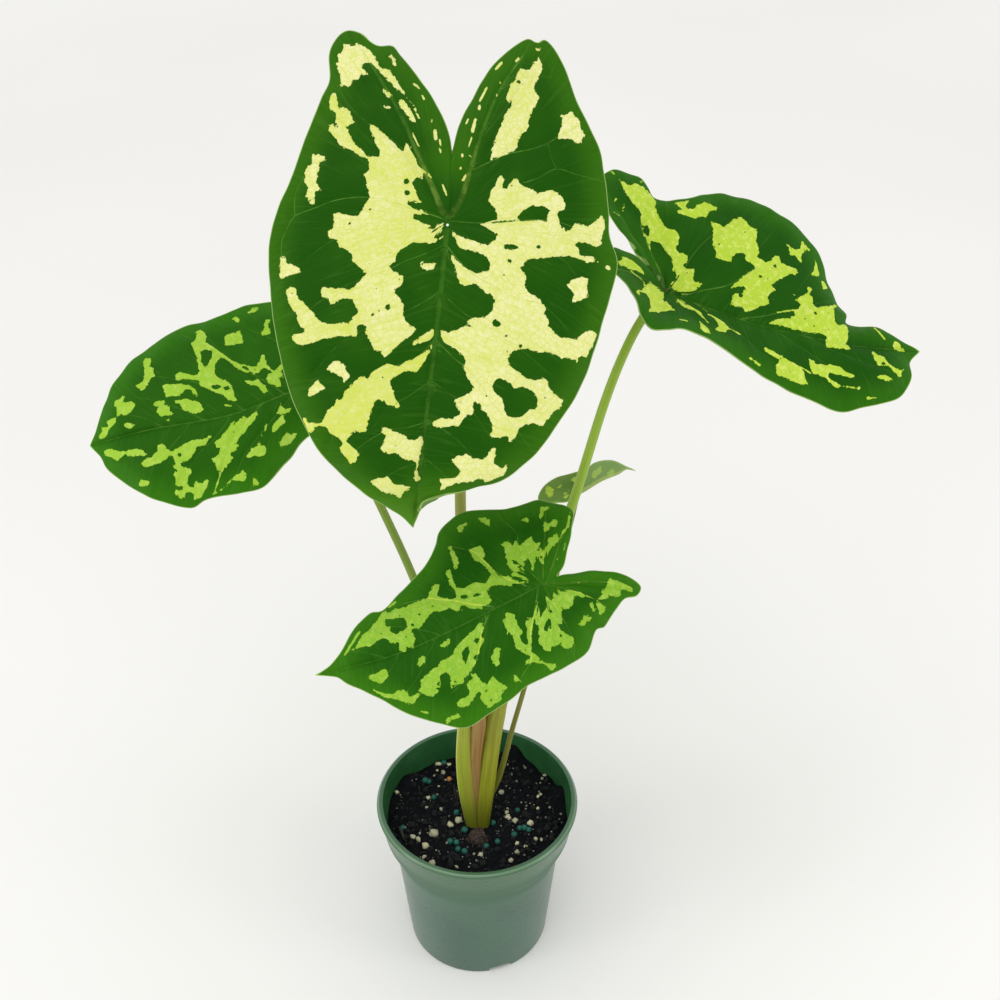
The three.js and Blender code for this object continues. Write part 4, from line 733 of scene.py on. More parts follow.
class Nodes:
    """Shorthand for a material's node tree."""

    # A mix node has its colour sockets under these numbers, after those for plain numbers and vectors
    COLOUR_A, COLOUR_B, COLOUR_OUT = 6, 7, 2

    def __init__(self, name):
        self.material = bpy.data.materials.new(name)
        self.material.use_nodes = True
        self.tree = self.material.node_tree
        self.shader = self.tree.nodes["Principled BSDF"]

    def new(self, kind):
        return self.tree.nodes.new(kind)

    def put(self, value, socket):
        if isinstance(value, bpy.types.NodeSocket):
            self.tree.links.new(value, socket)
        else:
            socket.default_value = value

    def attribute(self, name, output="Fac"):
        node = self.new("ShaderNodeAttribute")
        node.attribute_name = name
        return node.outputs[output]

    def place(self):
        return self.new("ShaderNodeTexCoord").outputs["Object"]

    def millimetres(self):
        return self.scaled(self.place(), (1 / MM,) * 3)

    def operate(self, kind, operation, values, output):
        node = self.new(kind)
        node.operation = operation
        for value, socket in zip(values, node.inputs):
            self.put(value, socket)
        return node.outputs[output]

    def math(self, operation, *values):
        return self.operate("ShaderNodeMath", operation, values, "Value")

    def vector_math(self, operation, *values, output="Vector"):
        return self.operate("ShaderNodeVectorMath", operation, values, output)

    def times(self, a, b):
        return self.math("MULTIPLY", a, b)

    def plus(self, a, b):
        return self.math("ADD", a, b)

    def swing(self, value, amount):
        """A value between 0 and 1 as a push to either side."""
        return self.times(self.math("SUBTRACT", value, 0.5), amount)

    def scaled(self, vector, scale):
        return self.vector_math("MULTIPLY", vector, scale)

    def parts(self, vector):
        """The three numbers of a vector."""
        node = self.new("ShaderNodeSeparateXYZ")
        self.put(vector, node.inputs[0])
        return node.outputs

    def noise(self, vector, scale, detail=2.0, roughness=0.5, output="Fac"):
        """Soft blotches, scale of them to each unit of the vector, which is mostly a millimetre."""
        node = self.new("ShaderNodeTexNoise")
        self.put(vector, node.inputs["Vector"])
        node.inputs["Scale"].default_value = scale
        node.inputs["Detail"].default_value = detail
        node.inputs["Roughness"].default_value = roughness
        return node.outputs[output]

    def cells(self, vector, scale, output="Distance", feature="F1"):
        """Small uneven fields, scale of them to each unit of the vector."""
        node = self.new("ShaderNodeTexVoronoi")
        node.feature = feature
        self.put(vector, node.inputs["Vector"])
        node.inputs["Scale"].default_value = scale
        return node.outputs[output]

    def ramp(self, value, start, end, low=0.0, high=1.0):
        """low up to start, high from end on, and smooth between them."""
        node = self.new("ShaderNodeMapRange")
        node.interpolation_type = "SMOOTHSTEP"
        self.put(value, node.inputs["Value"])
        for name, number in (("From Min", start), ("From Max", end), ("To Min", low), ("To Max", high)):
            node.inputs[name].default_value = number
        return node.outputs["Result"]

    def mix(self, share, a, b):
        node = self.new("ShaderNodeMix")
        node.data_type = "RGBA"
        self.put(share, node.inputs["Factor"])
        self.put(a, node.inputs[self.COLOUR_A])
        self.put(b, node.inputs[self.COLOUR_B])
        return node.outputs[self.COLOUR_OUT]

    def layered(self, colour, *layers):
        """A colour with others laid over it in turn, each as (share, colour)."""
        for share, over in layers:
            colour = self.mix(share, colour, over)
        return colour

    def bump(self, height, distance, strength=1.0):
        node = self.new("ShaderNodeBump")
        self.put(height, node.inputs["Height"])
        node.inputs["Distance"].default_value = distance
        node.inputs["Strength"].default_value = strength
        return node.outputs["Normal"]

    def finish(self, colour, roughness, normal=None, **values):
        self.put(colour, self.shader.inputs["Base Color"])
        self.put(roughness, self.shader.inputs["Roughness"])
        if normal is not None:
            self.put(normal, self.shader.inputs["Normal"])
        for name, value in values.items():
            self.shader.inputs[name.replace("_", " ")].default_value = value
        return self.material


def curve_at(points, t):
    """A smooth curve through the points, each stretch taking the same share of the parameter."""
    p = np.asarray(points, float)
    last = len(p) - 1
    t = np.clip(np.atleast_1d(np.asarray(t, float)), 0, 1) * last
    i = np.minimum(t.astype(int), last - 1)
    w = (t - i)[:, None]
    q = np.vstack([2 * p[0] - p[1], p, 2 * p[-1] - p[-2]])
    a, b, c, d = q[i], q[i + 1], q[i + 2], q[i + 3]
    return 0.5 * (2 * b + (c - a) * w + (2 * a - 5 * b + 4 * c - d) * w**2 + (3 * b - a - 3 * c + d) * w**3)


def even_stops(points, start, end, pitch, count=None):
    """Parameters from start to end that lie an even distance apart along the curve."""
    t = np.linspace(start, end, CURVE_STEPS)
    at = curve_at(points, t)[:, :3]
    run = np.concatenate([[0], np.cumsum(np.linalg.norm(np.diff(at, axis=0), axis=1))])
    count = count or max(2, round(run[-1] / pitch))
    return np.interp(np.linspace(0, run[-1], count + 1), run, t)


def axes_of(leaf):
    """The leaf's own directions: across it, along it and out of its face."""
    h, d, r = (math.radians(leaf[k]) for k in ("heading", "dip", "roll"))
    along = np.array([math.cos(h) * math.cos(d), math.sin(h) * math.cos(d), -math.sin(d)])
    level = np.array([math.sin(h), -math.cos(h), 0])
    up = np.cross(level, along)
    across = level * math.cos(r) + up * math.sin(r)
    face = up * math.cos(r) - level * math.sin(r)
    return np.array([across, along, face])


def foot_share(p, tip):
    """How far along the midrib the side vein starts that ends at each point."""
    return np.clip((p[:, 1] - np.abs(p[:, 0]) / math.tan(math.radians(VEIN_ANGLE))) / tip[1], 0, 1)


def unit(v):
    return v / np.maximum(np.linalg.norm(v, axis=-1, keepdims=True), 1e-12)


def mesh_object(name, points, faces, materials, slots=None, smooth=True):
    """points in millimetres, faces as tuples of indices; slots gives each face's material."""
    mesh = bpy.data.meshes.new(name)
    mesh.from_pydata((np.asarray(points) * MM).tolist(), [], [tuple(f) for f in faces])
    for material in materials:
        mesh.materials.append(material)
    if slots is not None:
        mesh.polygons.foreach_set("material_index", np.asarray(slots, np.int32))
    mesh.polygons.foreach_set("use_smooth", np.full(len(mesh.polygons), smooth))
    mesh.update()
    made = bpy.data.objects.new(name, mesh)
    bpy.context.scene.collection.objects.link(made)
    return made


def add_values(made, name, values):
    values = np.asarray(values, np.float32)
    kind = "FLOAT_VECTOR" if values.ndim == 2 else "FLOAT"
    layer = made.data.attributes.new(name, kind, "POINT")
    layer.data.foreach_set("vector" if values.ndim == 2 else "value", values.ravel())


def pairs(numbers):
    return np.asarray(numbers, float).reshape(-1, 2)


def to_segments(points, a, b):
    """Each point's distance to its nearest segment a-b, and that segment's index."""
    best = np.full(len(points), FAR)
    which = np.zeros(len(points), int)
    for k in range(len(a)):
        ab = b[k] - a[k]
        w = np.clip(((points - a[k]) @ ab) / max(ab @ ab, 1e-12), 0, 1)
        d = np.linalg.norm(points - a[k] - w[:, None] * ab, axis=1)
        near = d < best
        best[near] = d[near]
        which[near] = k
    return best, which


def inside(points, outline):
    """Which points lie inside an outline: they see an odd number of its sides to their right."""
    odd = np.zeros(len(points), bool)
    x, y = points[:, 0], points[:, 1]
    for (x0, y0), (x1, y1) in zip(outline, np.roll(outline, -1, 0)):
        if y0 == y1:
            continue
        crosses = (y0 > y) != (y1 > y)
        odd ^= crosses & (x < (x1 - x0) * (y - y0) / (y1 - y0) + x0)
    return odd


def depth_inside(points, outline):
    """How far each point lies inside an outline; less than 0 outside."""
    d = to_segments(points, outline, np.roll(outline, -1, 0))[0]
    return np.where(inside(points, outline), d, -d)


def marks_at(name, points):
    """How far inside a pale mark each point is, that mark's warmth and how ragged its edge is."""
    depth = np.full(len(points), -FAR)
    warmth = np.full(len(points), 0.5)
    fray = np.ones(len(points))
    for warm, *numbers in BLOTCHES[name]:
        d = depth_inside(points, pairs(numbers))
        warmth[d > depth] = warm
        depth = np.maximum(depth, d)
    for half, *numbers in STROKES[name]:
        line = pairs(numbers)
        d = half - to_segments(points, line[:-1], line[1:])[0]
        fray[d > depth] = STROKE_FRAY
        depth = np.maximum(depth, d)
    for numbers in GAPS[name]:
        d = -depth_inside(points, pairs(numbers))
        fray[d < depth] = GAP_FRAY
        depth = np.minimum(depth, d)
    for radius, x, y in DOTS[name]:
        d = np.hypot(points[:, 0] - x, points[:, 1] - y) - radius
        fray[d < depth] = DOT_FRAY
        depth = np.minimum(depth, d)
    return depth, warmth, fray


def veins_at(name, points):
    """Each point's side distance to its nearest vein, that vein's half width there and its strength."""
    best = np.full(len(points), FAR)
    side = np.zeros(len(points))
    half = np.zeros(len(points))
    strength = np.zeros(len(points))
    for width, strong, *numbers in VEINS[name]:
        line = pairs(numbers)
        line = curve_at(line, np.linspace(0, 1, VEIN_PIECES * (len(line) - 1) + 1))
        a, b = line[:-1], line[1:]
        d, k = to_segments(points, a, b)
        ab, ap = b[k] - a[k], points - a[k]
        sign = np.where(ab[:, 0] * ap[:, 1] - ab[:, 1] * ap[:, 0] < 0, -1.0, 1.0)
        near = d < best
        best[near] = d[near]
        side[near] = (d * sign)[near]
        half[near] = (width * (1 - VEIN_TAPER * k / len(a)))[near]
        strength[near] = strong
    # Between two veins the side flips its sign, so a line is drawn only close to its own vein
    strength *= np.clip(2.0 - (best - half) / VEIN_FADE, 0.0, 1.0)
    return side, half, strength


def flat_layer(name):
    """The layer of the patterns that a leaf's surface takes; names of the same length share one."""
    return 37.0 * len(name)


def blade_sheet(name, leaf):
    """The blade's middle surface in the leaf's own frame: its points, each one's place along and across the
    midrib, its faces, and the loop of points round its margin."""
    tip = np.asarray(leaf["midrib"][-1], float)
    fineness = SMALL_PITCH if name == SMALL_LEAF else 1
    pitch = ROW_PITCH * fineness
    t = np.linspace(0, 1, MARGIN_STEPS)
    sides = []
    for key in ("left", "right"):
        # Up to this parameter the margin is reached by rows that all start at the leaf's centre
        last = np.nonzero(foot_share(curve_at(leaf[key], t), tip) <= 0)[0][-1]
        sides.append((leaf[key], t[last]))
    fan = max(len(even_stops(m, 0, s, pitch)) for m, s in sides) - 1
    rest = max(len(even_stops(m, s, 1, pitch)) for m, s in sides) - 1
    stops = [(even_stops(m, 0, s, 0, fan), even_stops(m, s, 1, 0, rest)) for m, s in sides]
    shares = np.mean([foot_share(curve_at(m, r), tip) for (m, _), (_, r) in zip(sides, stops)], axis=0)
    shares[0] = 0
    shares = np.maximum.accumulate(shares) + np.linspace(0, 1e-4, rest + 1)
    shares /= shares[-1]
    widest = max(abs(p[0]) for p in leaf["left"] + leaf["right"])
    columns = max(FEWEST_COLUMNS, round(widest / (COLUMN_PITCH * fineness)))
    # Columns lie a little closer together at the midrib
    w = np.linspace(0, 1, columns + 1)
    w = 0.8 * w + 0.2 * w**2

    points, grain, faces, index = [], [], [], {}

    def vertex(p, g):
        key = tuple(np.round(p, 4))
        if key not in index:
            index[key] = len(points)
            points.append(p)
            grain.append(g)
        return index[key]

    rims = []
    for which, ((margin, _), (first, second)) in enumerate(zip(sides, stops)):
        edge = np.vstack([curve_at(margin, first)[:-1], curve_at(margin, second)])
        foot = np.vstack([np.repeat(curve_at(leaf["midrib"], 0), fan, 0), curve_at(leaf["midrib"], shares)])
        run = np.concatenate([np.linspace(-fan, -1, fan), np.linspace(0, rest, rest + 1)]) * pitch
        width = np.hypot(*(edge - foot)[:, :2].T)
        lift = leaf["arch"] * np.minimum(1, width / ARCH_WIDTH)
        grid = foot[:, None] * (1 - w[None, :, None]) + edge[:, None] * w[None, :, None]
        grid[:, :, 2] += lift[:, None] * 4 * w * (1 - w)
        reach = (width[:, None] * w) * (1 if which == 0 else -1)
        cells = []
        for i in range(fan + rest + 1):
            cells.append([vertex(grid[i, k], (run[i], reach[i, k])) for k in range(columns + 1)])
        for i in range(fan + rest):
            for k in range(columns):
                quad = [cells[i][k], cells[i][k + 1], cells[i + 1][k + 1], cells[i + 1][k]]
                quad = [v for n, v in enumerate(quad) if v != quad[n - 1]]
                if len(set(quad)) > 2:
                    faces.append(tuple(quad[::-1] if which else quad))
        rim = [row[-1] for row in cells]
        rims.append(rim[::-1] if which else rim)
    return np.array(points), np.array(grain), faces, rims[0] + rims[1][1:-1]


def sheet_normals(points, faces):
    normal = np.zeros_like(points)
    for f in faces:
        n = np.cross(points[f[1]] - points[f[0]], points[f[2]] - points[f[0]])
        if len(f) == 4:
            n = n + np.cross(points[f[2]] - points[f[0]], points[f[3]] - points[f[0]])
        normal[list(f)] += n
    return unit(normal)


def hill(distance, width):
    """1 at no distance, falling off smoothly over the width."""
    return np.exp(-((distance / width) ** 2))


def blade(name, leaf):
    """The blade as a closed sheet, cupped and folded as the solid is, with many more rows and columns, veins
    pressed into the upper face and standing out of the lower one, and a thin margin."""
    points, grain, faces, loop = blade_sheet(name, leaf)
    flat = points[:, :2].copy()
    normal = sheet_normals(points, faces)
    scale = SMALL_RELIEF if name == SMALL_LEAF else 1.0
    midrib = curve_at(leaf["midrib"], np.linspace(0, 1, 80))[:, :2]
    from_midrib = to_segments(flat, midrib[:-1], midrib[1:])[0]
    rim = to_segments(flat, flat[loop], np.roll(flat[loop], -1, 0))[0]
    depth, warmth, fray = marks_at(name, flat)
    side, half, strength = veins_at(name, flat)

    swell = QUILT_HEIGHT * (1 - hill(side, VALLEY_WIDTH)) * np.clip(rim / QUILT_RIM, 0, 1)
    ripple = np.array([noise.noise(Vector((*(p / RIPPLE_PITCH), len(name)))) for p in flat])
    ripple *= RIPPLE_HEIGHT + RIM_RIPPLE_HEIGHT * np.exp(-rim / RIM_RIPPLE_REACH)
    points = points + normal * (scale * (swell - QUILT_SINK + ripple))[:, None]

    near_rim = np.clip(rim / RIM_FADE, 0, 1)
    fade = np.clip(1 - flat[:, 1] / leaf["midrib"][-1][1], 0.25, 1)
    rib = scale * RIB_DEPTH * fade * hill(from_midrib, RIB_WIDTH * scale)
    rib = np.maximum(rib, scale * SIDE_RIB_DEPTH * half * hill(side, SIDE_RIB_WIDTH)) * near_rim
    thick = RIM_THICKNESS + (BLADE_THICKNESS - RIM_THICKNESS) * near_rim
    groove = scale * GROOVE_DEPTH * hill(from_midrib, GROOVE_WIDTH) * near_rim
    top = points + normal * (thick / 2 - groove)[:, None]
    low = points - normal * (thick / 2 + rib)[:, None]

    size = len(points)
    walls = [(a, a + size, b + size, b) for a, b in zip(loop, loop[1:] + loop[:1])]
    below = [tuple(v + size for v in f[::-1]) for f in faces]
    place = np.vstack([top, low]) @ axes_of(leaf) + np.asarray(leaf["origin"], float)
    slots = [0] * len(faces) + [1] * (len(below) + len(walls))
    materials = [leaf_material(name, under) for under in (False, True)]
    made = mesh_object("leaf_" + name, place, faces + below + walls, materials, slots)
    surface = {
        "mark": depth, "warmth": warmth, "fray": fray, "vein": side, "vein_half": half,
        "vein_strength": strength, "rim": rim, "from_midrib": from_midrib,
    }
    for key, values in surface.items():
        add_values(made, key, np.tile(values, 2))
    add_values(made, "grain", np.tile(np.column_stack([grain, np.zeros(size)]), (2, 1)))
    add_values(made, "flat", np.tile(np.column_stack([flat, np.full(size, flat_layer(name))]), (2, 1)))
    return made


def toned(colour, *factors):
    """A colour with its channels scaled by one or three factors."""
    factors = factors * 3 if len(factors) == 1 else factors
    return linear(tuple(min(255, c * f) for c, f in zip(colour, factors)))


def areole_nets(n, flat):
    """A coarse and a fine net round the areoles, the small fields between the finest veins."""
    sway = n.noise(flat, 0.5, 2.0, 0.5, output="Color")
    field = n.vector_math("MULTIPLY_ADD", sway, (1.6, 1.6, 0.0), flat)
    return [
        n.ramp(n.cells(field, scale, feature="DISTANCE_TO_EDGE"), 0.02, width, 1.0, 0.0)
        for scale, width in ((0.42, 0.11), (0.95, 0.12))
    ]


def mark_depth(n, look, flat, across, along, away):
    """How far inside a pale mark the surface lies. The edge steps from areole to areole, and near the stalk
    fine green streaks that spread out from it split the marks."""
    step = n.swing(n.cells(flat, 0.8, "Color"), 0.7)
    nick = n.swing(n.cells(flat, 1.7, "Color"), 0.2)
    sway = n.swing(n.noise(flat, 0.45, 2.0, 0.6), 1.0)
    ragged = n.times(n.plus(sway, n.plus(step, nick)), n.attribute("fray"))
    fan = n.new("ShaderNodeCombineXYZ")
    n.put(n.times(n.math("ARCTAN2", along, across), 7.0), fan.inputs[0])
    n.put(n.times(away, 0.07), fan.inputs[1])
    ray = n.ramp(n.noise(fan.outputs[0], 1.0, 3.0, 0.6), 0.5, 0.64)
    ray = n.times(ray, n.ramp(away, 6.0, look["streaks"], 1.0, 0.0))
    return n.math("SUBTRACT", n.plus(n.attribute("mark"), ragged), n.times(ray, 2.2))


def green_of_leaf(n, look, rim, broad, streak, side_veins):
    """Lighter at the margin, with darker streaks and faint side veins."""
    return n.layered(
        linear(look["dark"]),
        (n.ramp(rim, 0.5, 14.0, 0.8, 0.0), linear(look["light"])),
        (n.ramp(broad, 0.4, 0.75, 0.0, 0.25), linear(look["light"])),
        (n.ramp(streak, 0.35, 0.8, 0.0, 0.22), toned(look["dark"], 0.8)),
        (n.times(side_veins, 0.1), linear(SIDE_VEIN)),
    )


def pale_of_marks(n, look, flat, depth, broad, streak, nets, side_veins):
    """From pale to warm, with the veins' nets, paler patches, a warm edge and a few dark specks."""
    warmth = n.plus(n.plus(n.attribute("warmth"), n.swing(broad, 0.8)), n.swing(streak, 0.8))
    net, fine_net = nets
    fine = n.noise(flat, 1.7, 3.0, 0.65)
    patch = n.noise(flat, 0.45, 4.0, 0.65)
    speck = n.ramp(n.cells(flat, 0.21), 0.06, 0.09, 1.0, 0.0)
    chosen = n.ramp(n.cells(flat, 0.21, "Color"), 0.5, 0.51)
    return n.layered(
        linear(look["pale"]),
        (n.ramp(warmth, 0.0, 1.0), linear(look["warm"])),
        (n.times(net, 0.5), linear(look["net"])),
        (n.times(fine_net, 0.22), linear(look["net"])),
        (n.times(side_veins, 0.5), linear(look["net"])),
        (n.ramp(fine, 0.5, 0.8, 0.0, 0.4), toned(look["pale"], 1.03, 1.02, 1.08)),
        (n.ramp(patch, 0.5, 0.66, 0.0, look["patches"]), toned(look["pale"], 1.1, 1.05, 1.4)),
        (n.ramp(depth, 0.0, 0.5, 0.3, 0.0), toned(look["warm"], 0.9)),
        (n.times(n.times(speck, chosen), 0.8), linear(SPECK)),
    )


def drawn_veins(n, look, flat, marked, along, away):
    """The drawn veins as (share, colour): on the green, the broad ones are duller than the fine ones."""
    half = n.attribute("vein_half")
    vein = n.math("DIVIDE", n.math("ABSOLUTE", n.attribute("vein")), half)
    line = n.times(n.ramp(vein, 0.3, 1.3, 1.0, 0.0), n.attribute("vein_strength"))
    line = n.times(line, n.ramp(n.noise(flat, 0.22, 2.0, 0.6), 0.35, 0.62, 0.25, 1.0))
    line = n.times(line, n.plus(n.times(marked, 0.2), 0.7))
    # The two ribs that run back into the lobes are paler close to the stalk
    backwards = n.times(n.ramp(along, 2.0, -5.0), n.ramp(away, 44.0, 14.0))
    colour = n.layered(
        linear(FINE_VEIN),
        (n.ramp(half, 0.35, 0.8), linear(BROAD_VEIN)),
        (backwards, linear(VEIN_AT_STALK)),
        (marked, linear(look["veins"])),
    )
    return line, colour


def leaf_material(name, under):
    look = LOOKS[name]
    n = Nodes(("underside_" if under else "upper_") + name)
    flat = n.attribute("flat", "Vector")
    grain = n.attribute("grain", "Vector")
    rim = n.attribute("rim")
    across, along, _ = n.parts(flat)
    away = n.math("SQRT", n.plus(n.times(across, across), n.times(along, along)))
    broad = n.noise(flat, 0.05, 2.0, 0.5)
    # Streaks and fine side veins run the way of the side veins, so the grain is stretched that way
    streak = n.noise(n.scaled(grain, (1.0, 0.16, 1.0)), 0.75, 3.0, 0.6)
    small = n.noise(n.scaled(grain, (1.0, 0.05, 1.0)), 0.3, 1.0, 0.4)
    side_veins = n.ramp(n.math("ABSOLUTE", n.math("SUBTRACT", small, 0.5)), 0.0, 0.02, 1.0, 0.0)
    nets = areole_nets(n, flat)
    depth = mark_depth(n, look, flat, across, along, away)
    marked = n.ramp(depth, -0.06, 0.08)
    colour = n.layered(
        green_of_leaf(n, look, rim, broad, streak, side_veins),
        (marked, pale_of_marks(n, look, flat, depth, broad, streak, nets, side_veins)),
        drawn_veins(n, look, flat, marked, along, away),
        (n.ramp(rim, 0.15, 0.45, 0.75, 0.0), linear(LEAF_RIM)),
    )
    if name == "large_front" and not under:
        # A painted highlight where the stalk meets the blade, and a tip that pales a little
        to_stalk_join_highlight = n.vector_math("DISTANCE", flat, (0.0, STALK_JOIN_HIGHLIGHT_ALONG, flat_layer(name)), output="Value")
        colour = n.layered(
            colour,
            (n.ramp(to_stalk_join_highlight, 0.4, 0.6, 1.0, 0.0), linear(STALK_JOIN_HIGHLIGHT)),
            (n.ramp(along, 96.0, 112.0, 0.0, 0.35), linear(PALE_TIP)),
        )
    if under:
        colour = n.layered(
            colour,
            (0.5, linear(UNDERSIDE)),
            (n.ramp(n.attribute("from_midrib"), 0.6, 1.3, 0.7, 0.0), linear(UNDERSIDE_MIDRIB)),
        )
    pores = n.noise(flat, 5.5, 2.0, 0.6)
    height = n.plus(n.times(pores, 0.5), n.times(nets[0], -0.6))
    roughness = n.ramp(n.noise(flat, 0.35, 2.0, 0.5), 0.3, 0.7, 0.45, 0.58)
    return n.finish(
        colour, roughness, n.bump(height, 0.00006, 0.7),
        Specular_IOR_Level=0.12, Specular_Tint=(0.75, 1.0, 0.35, 1.0),
    )


def swept(points, halves, sides, shape=None):
    """Rings round a path, and each ring's run along it."""
    tangents = unit(np.gradient(points, axis=0))
    across = np.array([1.0, 0.0, 0.0])
    turn = np.arange(sides) * 2 * math.pi / sides
    rings = []
    for i, (p, t) in enumerate(zip(points, tangents)):
        across = unit(across - (across @ t) * t)
        other = np.cross(t, across)
        factor = np.ones(sides) if shape is None else shape(i, turn)
        spoke = np.cos(turn)[:, None] * across * halves[i, 0] + np.sin(turn)[:, None] * other * halves[i, 1]
        rings.append(p + spoke * factor[:, None])
    run = np.concatenate([[0], np.cumsum(np.linalg.norm(np.diff(points, axis=0), axis=1))])
    return np.array(rings), run


def tube_faces(rows, sides):
    faces = []
    for i in range(rows - 1):
        for k in range(sides):
            a, b = i * sides + k, i * sides + (k + 1) % sides
            faces.append((a, b, b + sides, a + sides))
    faces.append(tuple(range(sides - 1, -1, -1)))
    faces.append(tuple(range((rows - 1) * sides, rows * sides)))
    return faces


class Pile:
    """Many small closed bodies that make up one piece."""

    def __init__(self):
        self.points, self.faces, self.count = [], [], 0

    def add(self, points, faces):
        self.faces += [tuple(v + self.count for v in face) for face in faces]
        self.points.append(np.asarray(points, float))
        self.count += len(points)

    def add_strand(self, line, halves, sides):
        """A thin tube along a line, halves giving its half width and half depth at each point."""
        rings, _ = swept(np.array(line), np.array(halves), sides)
        self.add(rings.reshape(-1, 3), tube_faces(len(line), sides))

    def made(self, name, material):
        return mesh_object(name, np.vstack(self.points), self.faces, [material])


# Stalks: their colours near the soil, along the sheath's brown parts and near the blade, and where the
# sheath's pale edge and its brown parts lie as (turn, half width, share), with a turn of 180 at the left and
# 270 in front
STALK_LOOKS = {
    "large_front": {
        "base": (152, 170, 44), "brown": (156, 124, 66), "top": (142, 146, 60),
        "pale_edge": (196, 17, 0.95), "brown_part": (342, 34, 0.8),
    },
    "left": {"base": (136, 146, 56), "brown": (140, 110, 60), "top": (118, 146, 44)},
    "right": {
        "base": (148, 154, 36), "brown": (104, 86, 24), "top": (144, 178, 50), "brown_part": (196, 22, 0.8),
    },
    "lower_front": {
        "base": (160, 126, 76), "brown": (128, 92, 30), "top": (146, 178, 58),
        "brown_part": (310, 50, 0.35),
    },
    "small_back": {"base": (128, 132, 42), "brown": (96, 84, 44), "top": (104, 108, 52)},
}
PALE_SHEATH = (208, 214, 112)
STALK_FOOT = (102, 106, 20)
PALE_LINES = (196, 204, 110)


def stalk_material(name):
    look = STALK_LOOKS[name]
    n = Nodes("stalk_skin_" + name)
    skin = n.attribute("skin", "Vector")
    height = n.attribute("height")
    lines = n.noise(n.scaled(skin, (2.6, 0.035, 1.0)), 1.0, 4.0, 0.65)
    patches = n.noise(n.scaled(skin, (0.5, 0.02, 1.0)), 1.0, 2.0, 0.5)
    brown = n.times(n.ramp(patches, 0.42, 0.62, 0.0, 0.35), n.ramp(height, 280.0, 140.0))
    colour = n.layered(
        linear(look["base"]),
        (n.ramp(height, 150.0, 240.0), linear(look["top"])),
        (brown, linear(look["brown"])),
        (n.attribute("brown_part"), linear(look["brown"])),
        (n.attribute("pale_edge"), linear(PALE_SHEATH)),
        (n.ramp(height, 112.0, 80.0, 0.0, 0.8), linear(STALK_FOOT)),
        (n.ramp(lines, 0.4, 0.75, 0.0, 0.25), toned(look["base"], 0.72)),
        (n.ramp(lines, 0.5, 0.25, 0.0, 0.2), linear(PALE_LINES)),
    )
    normal = n.bump(lines, 0.00008, 0.5)
    return n.finish(colour, n.ramp(lines, 0.3, 0.7, 0.38, 0.5), normal, Specular_IOR_Level=0.35)


def round_part(turn, part):
    """How much of a part that lies round a stalk each turn has."""
    centre, half, share = part
    away = np.abs((np.degrees(turn) - centre + 180) % 360 - 180)
    return share * np.exp(-((away / half) ** 2))


def stalk(name, leaf):
    """The leaf's stalk with fine ridges, which widens into its sheath near the soil and into the blade's
    underside at its top."""
    look = STALK_LOOKS[name]
    seed = len(name) * 1.7
    axes, origin = axes_of(leaf), np.asarray(leaf["origin"], float)
    path = np.array(leaf["stalk"], float)
    at = curve_at(path, even_stops(path[:, :3], 0, 1, STALK_PITCH))
    centre, halves = at[:, :3], at[:, 3:]
    sheath = np.clip((SHEATH_TOP - centre[:, 2]) / SHEATH_FADE, 0, 1)

    def shape(i, turn):
        ridges = sum(height * np.cos(count * turn + way * seed) for height, count, way in STALK_RIDGES)
        # A sheath is squarer than a stalk, and its pale edge stands out
        power = 2 + sheath[i]
        squared = (np.abs(np.cos(turn)) ** power + np.abs(np.sin(turn)) ** power) ** (-1 / power)
        edge = 0
        if "pale_edge" in look:
            centre_turn = look["pale_edge"][0]
            edge = PALE_EDGE_RISE * sheath[i] * round_part(turn, (centre_turn, PALE_EDGE_TURN, 1))
        return squared * (1 + ridges + 0.01 * math.sin(i * 0.05 + seed) + edge)

    rings, run = swept(centre, halves, STALK_SIDES, shape)
    # What lies over the blade's underside is laid flat on it, and flares into the midrib
    local = (rings - origin) @ axes.T
    close = np.clip((local[:, :, 2] + STALK_SEAT + FLARE_REACH) / FLARE_REACH, 0, 1)
    local[:, :, :2] *= (1 + FLARE * close**2)[:, :, None]
    local[:, :, 2] = np.minimum(local[:, :, 2], -STALK_SEAT)
    rings = local @ axes + origin
    rows = len(rings)
    faces = tube_faces(rows, STALK_SIDES)
    made = mesh_object("petiole_" + name, rings.reshape(-1, 3), faces, [stalk_material(name)])

    # The skin's own place, with its fine lines along the stalk
    turn = np.tile(np.arange(STALK_SIDES) * 2 * math.pi / STALK_SIDES, (rows, 1))
    skin = np.stack([
        np.cos(turn) * halves[:, :1] + seed * 9,
        np.tile(run[:, None], (1, STALK_SIDES)),
        np.sin(turn) * halves[:, 1:] * 2.6,
    ], axis=-1)
    add_values(made, "skin", skin.reshape(-1, 3))
    in_sheath = np.clip((SHEATH_TOP + 30 - centre[:, 2:3]) / SHEATH_FADE, 0, 1)
    for part in ("pale_edge", "brown_part"):
        share = round_part(turn, look[part]) * in_sheath if part in look else 0 * turn
        add_values(made, part, share.ravel())
    add_values(made, "height", rings[:, :, 2].ravel())
    return made


def pot_radius(z):
    """The outer radius of the pot's wall below its lip."""
    lip = POT_HEIGHT - LIP_HEIGHT
    levels = (0, SHOULDER_Z, COLLAR_Z, lip)
    radii = (BASE_RADIUS, SHOULDER_RADIUS, COLLAR_RADIUS, COLLAR_TOP_RADIUS)
    return float(np.interp(z, levels, radii))


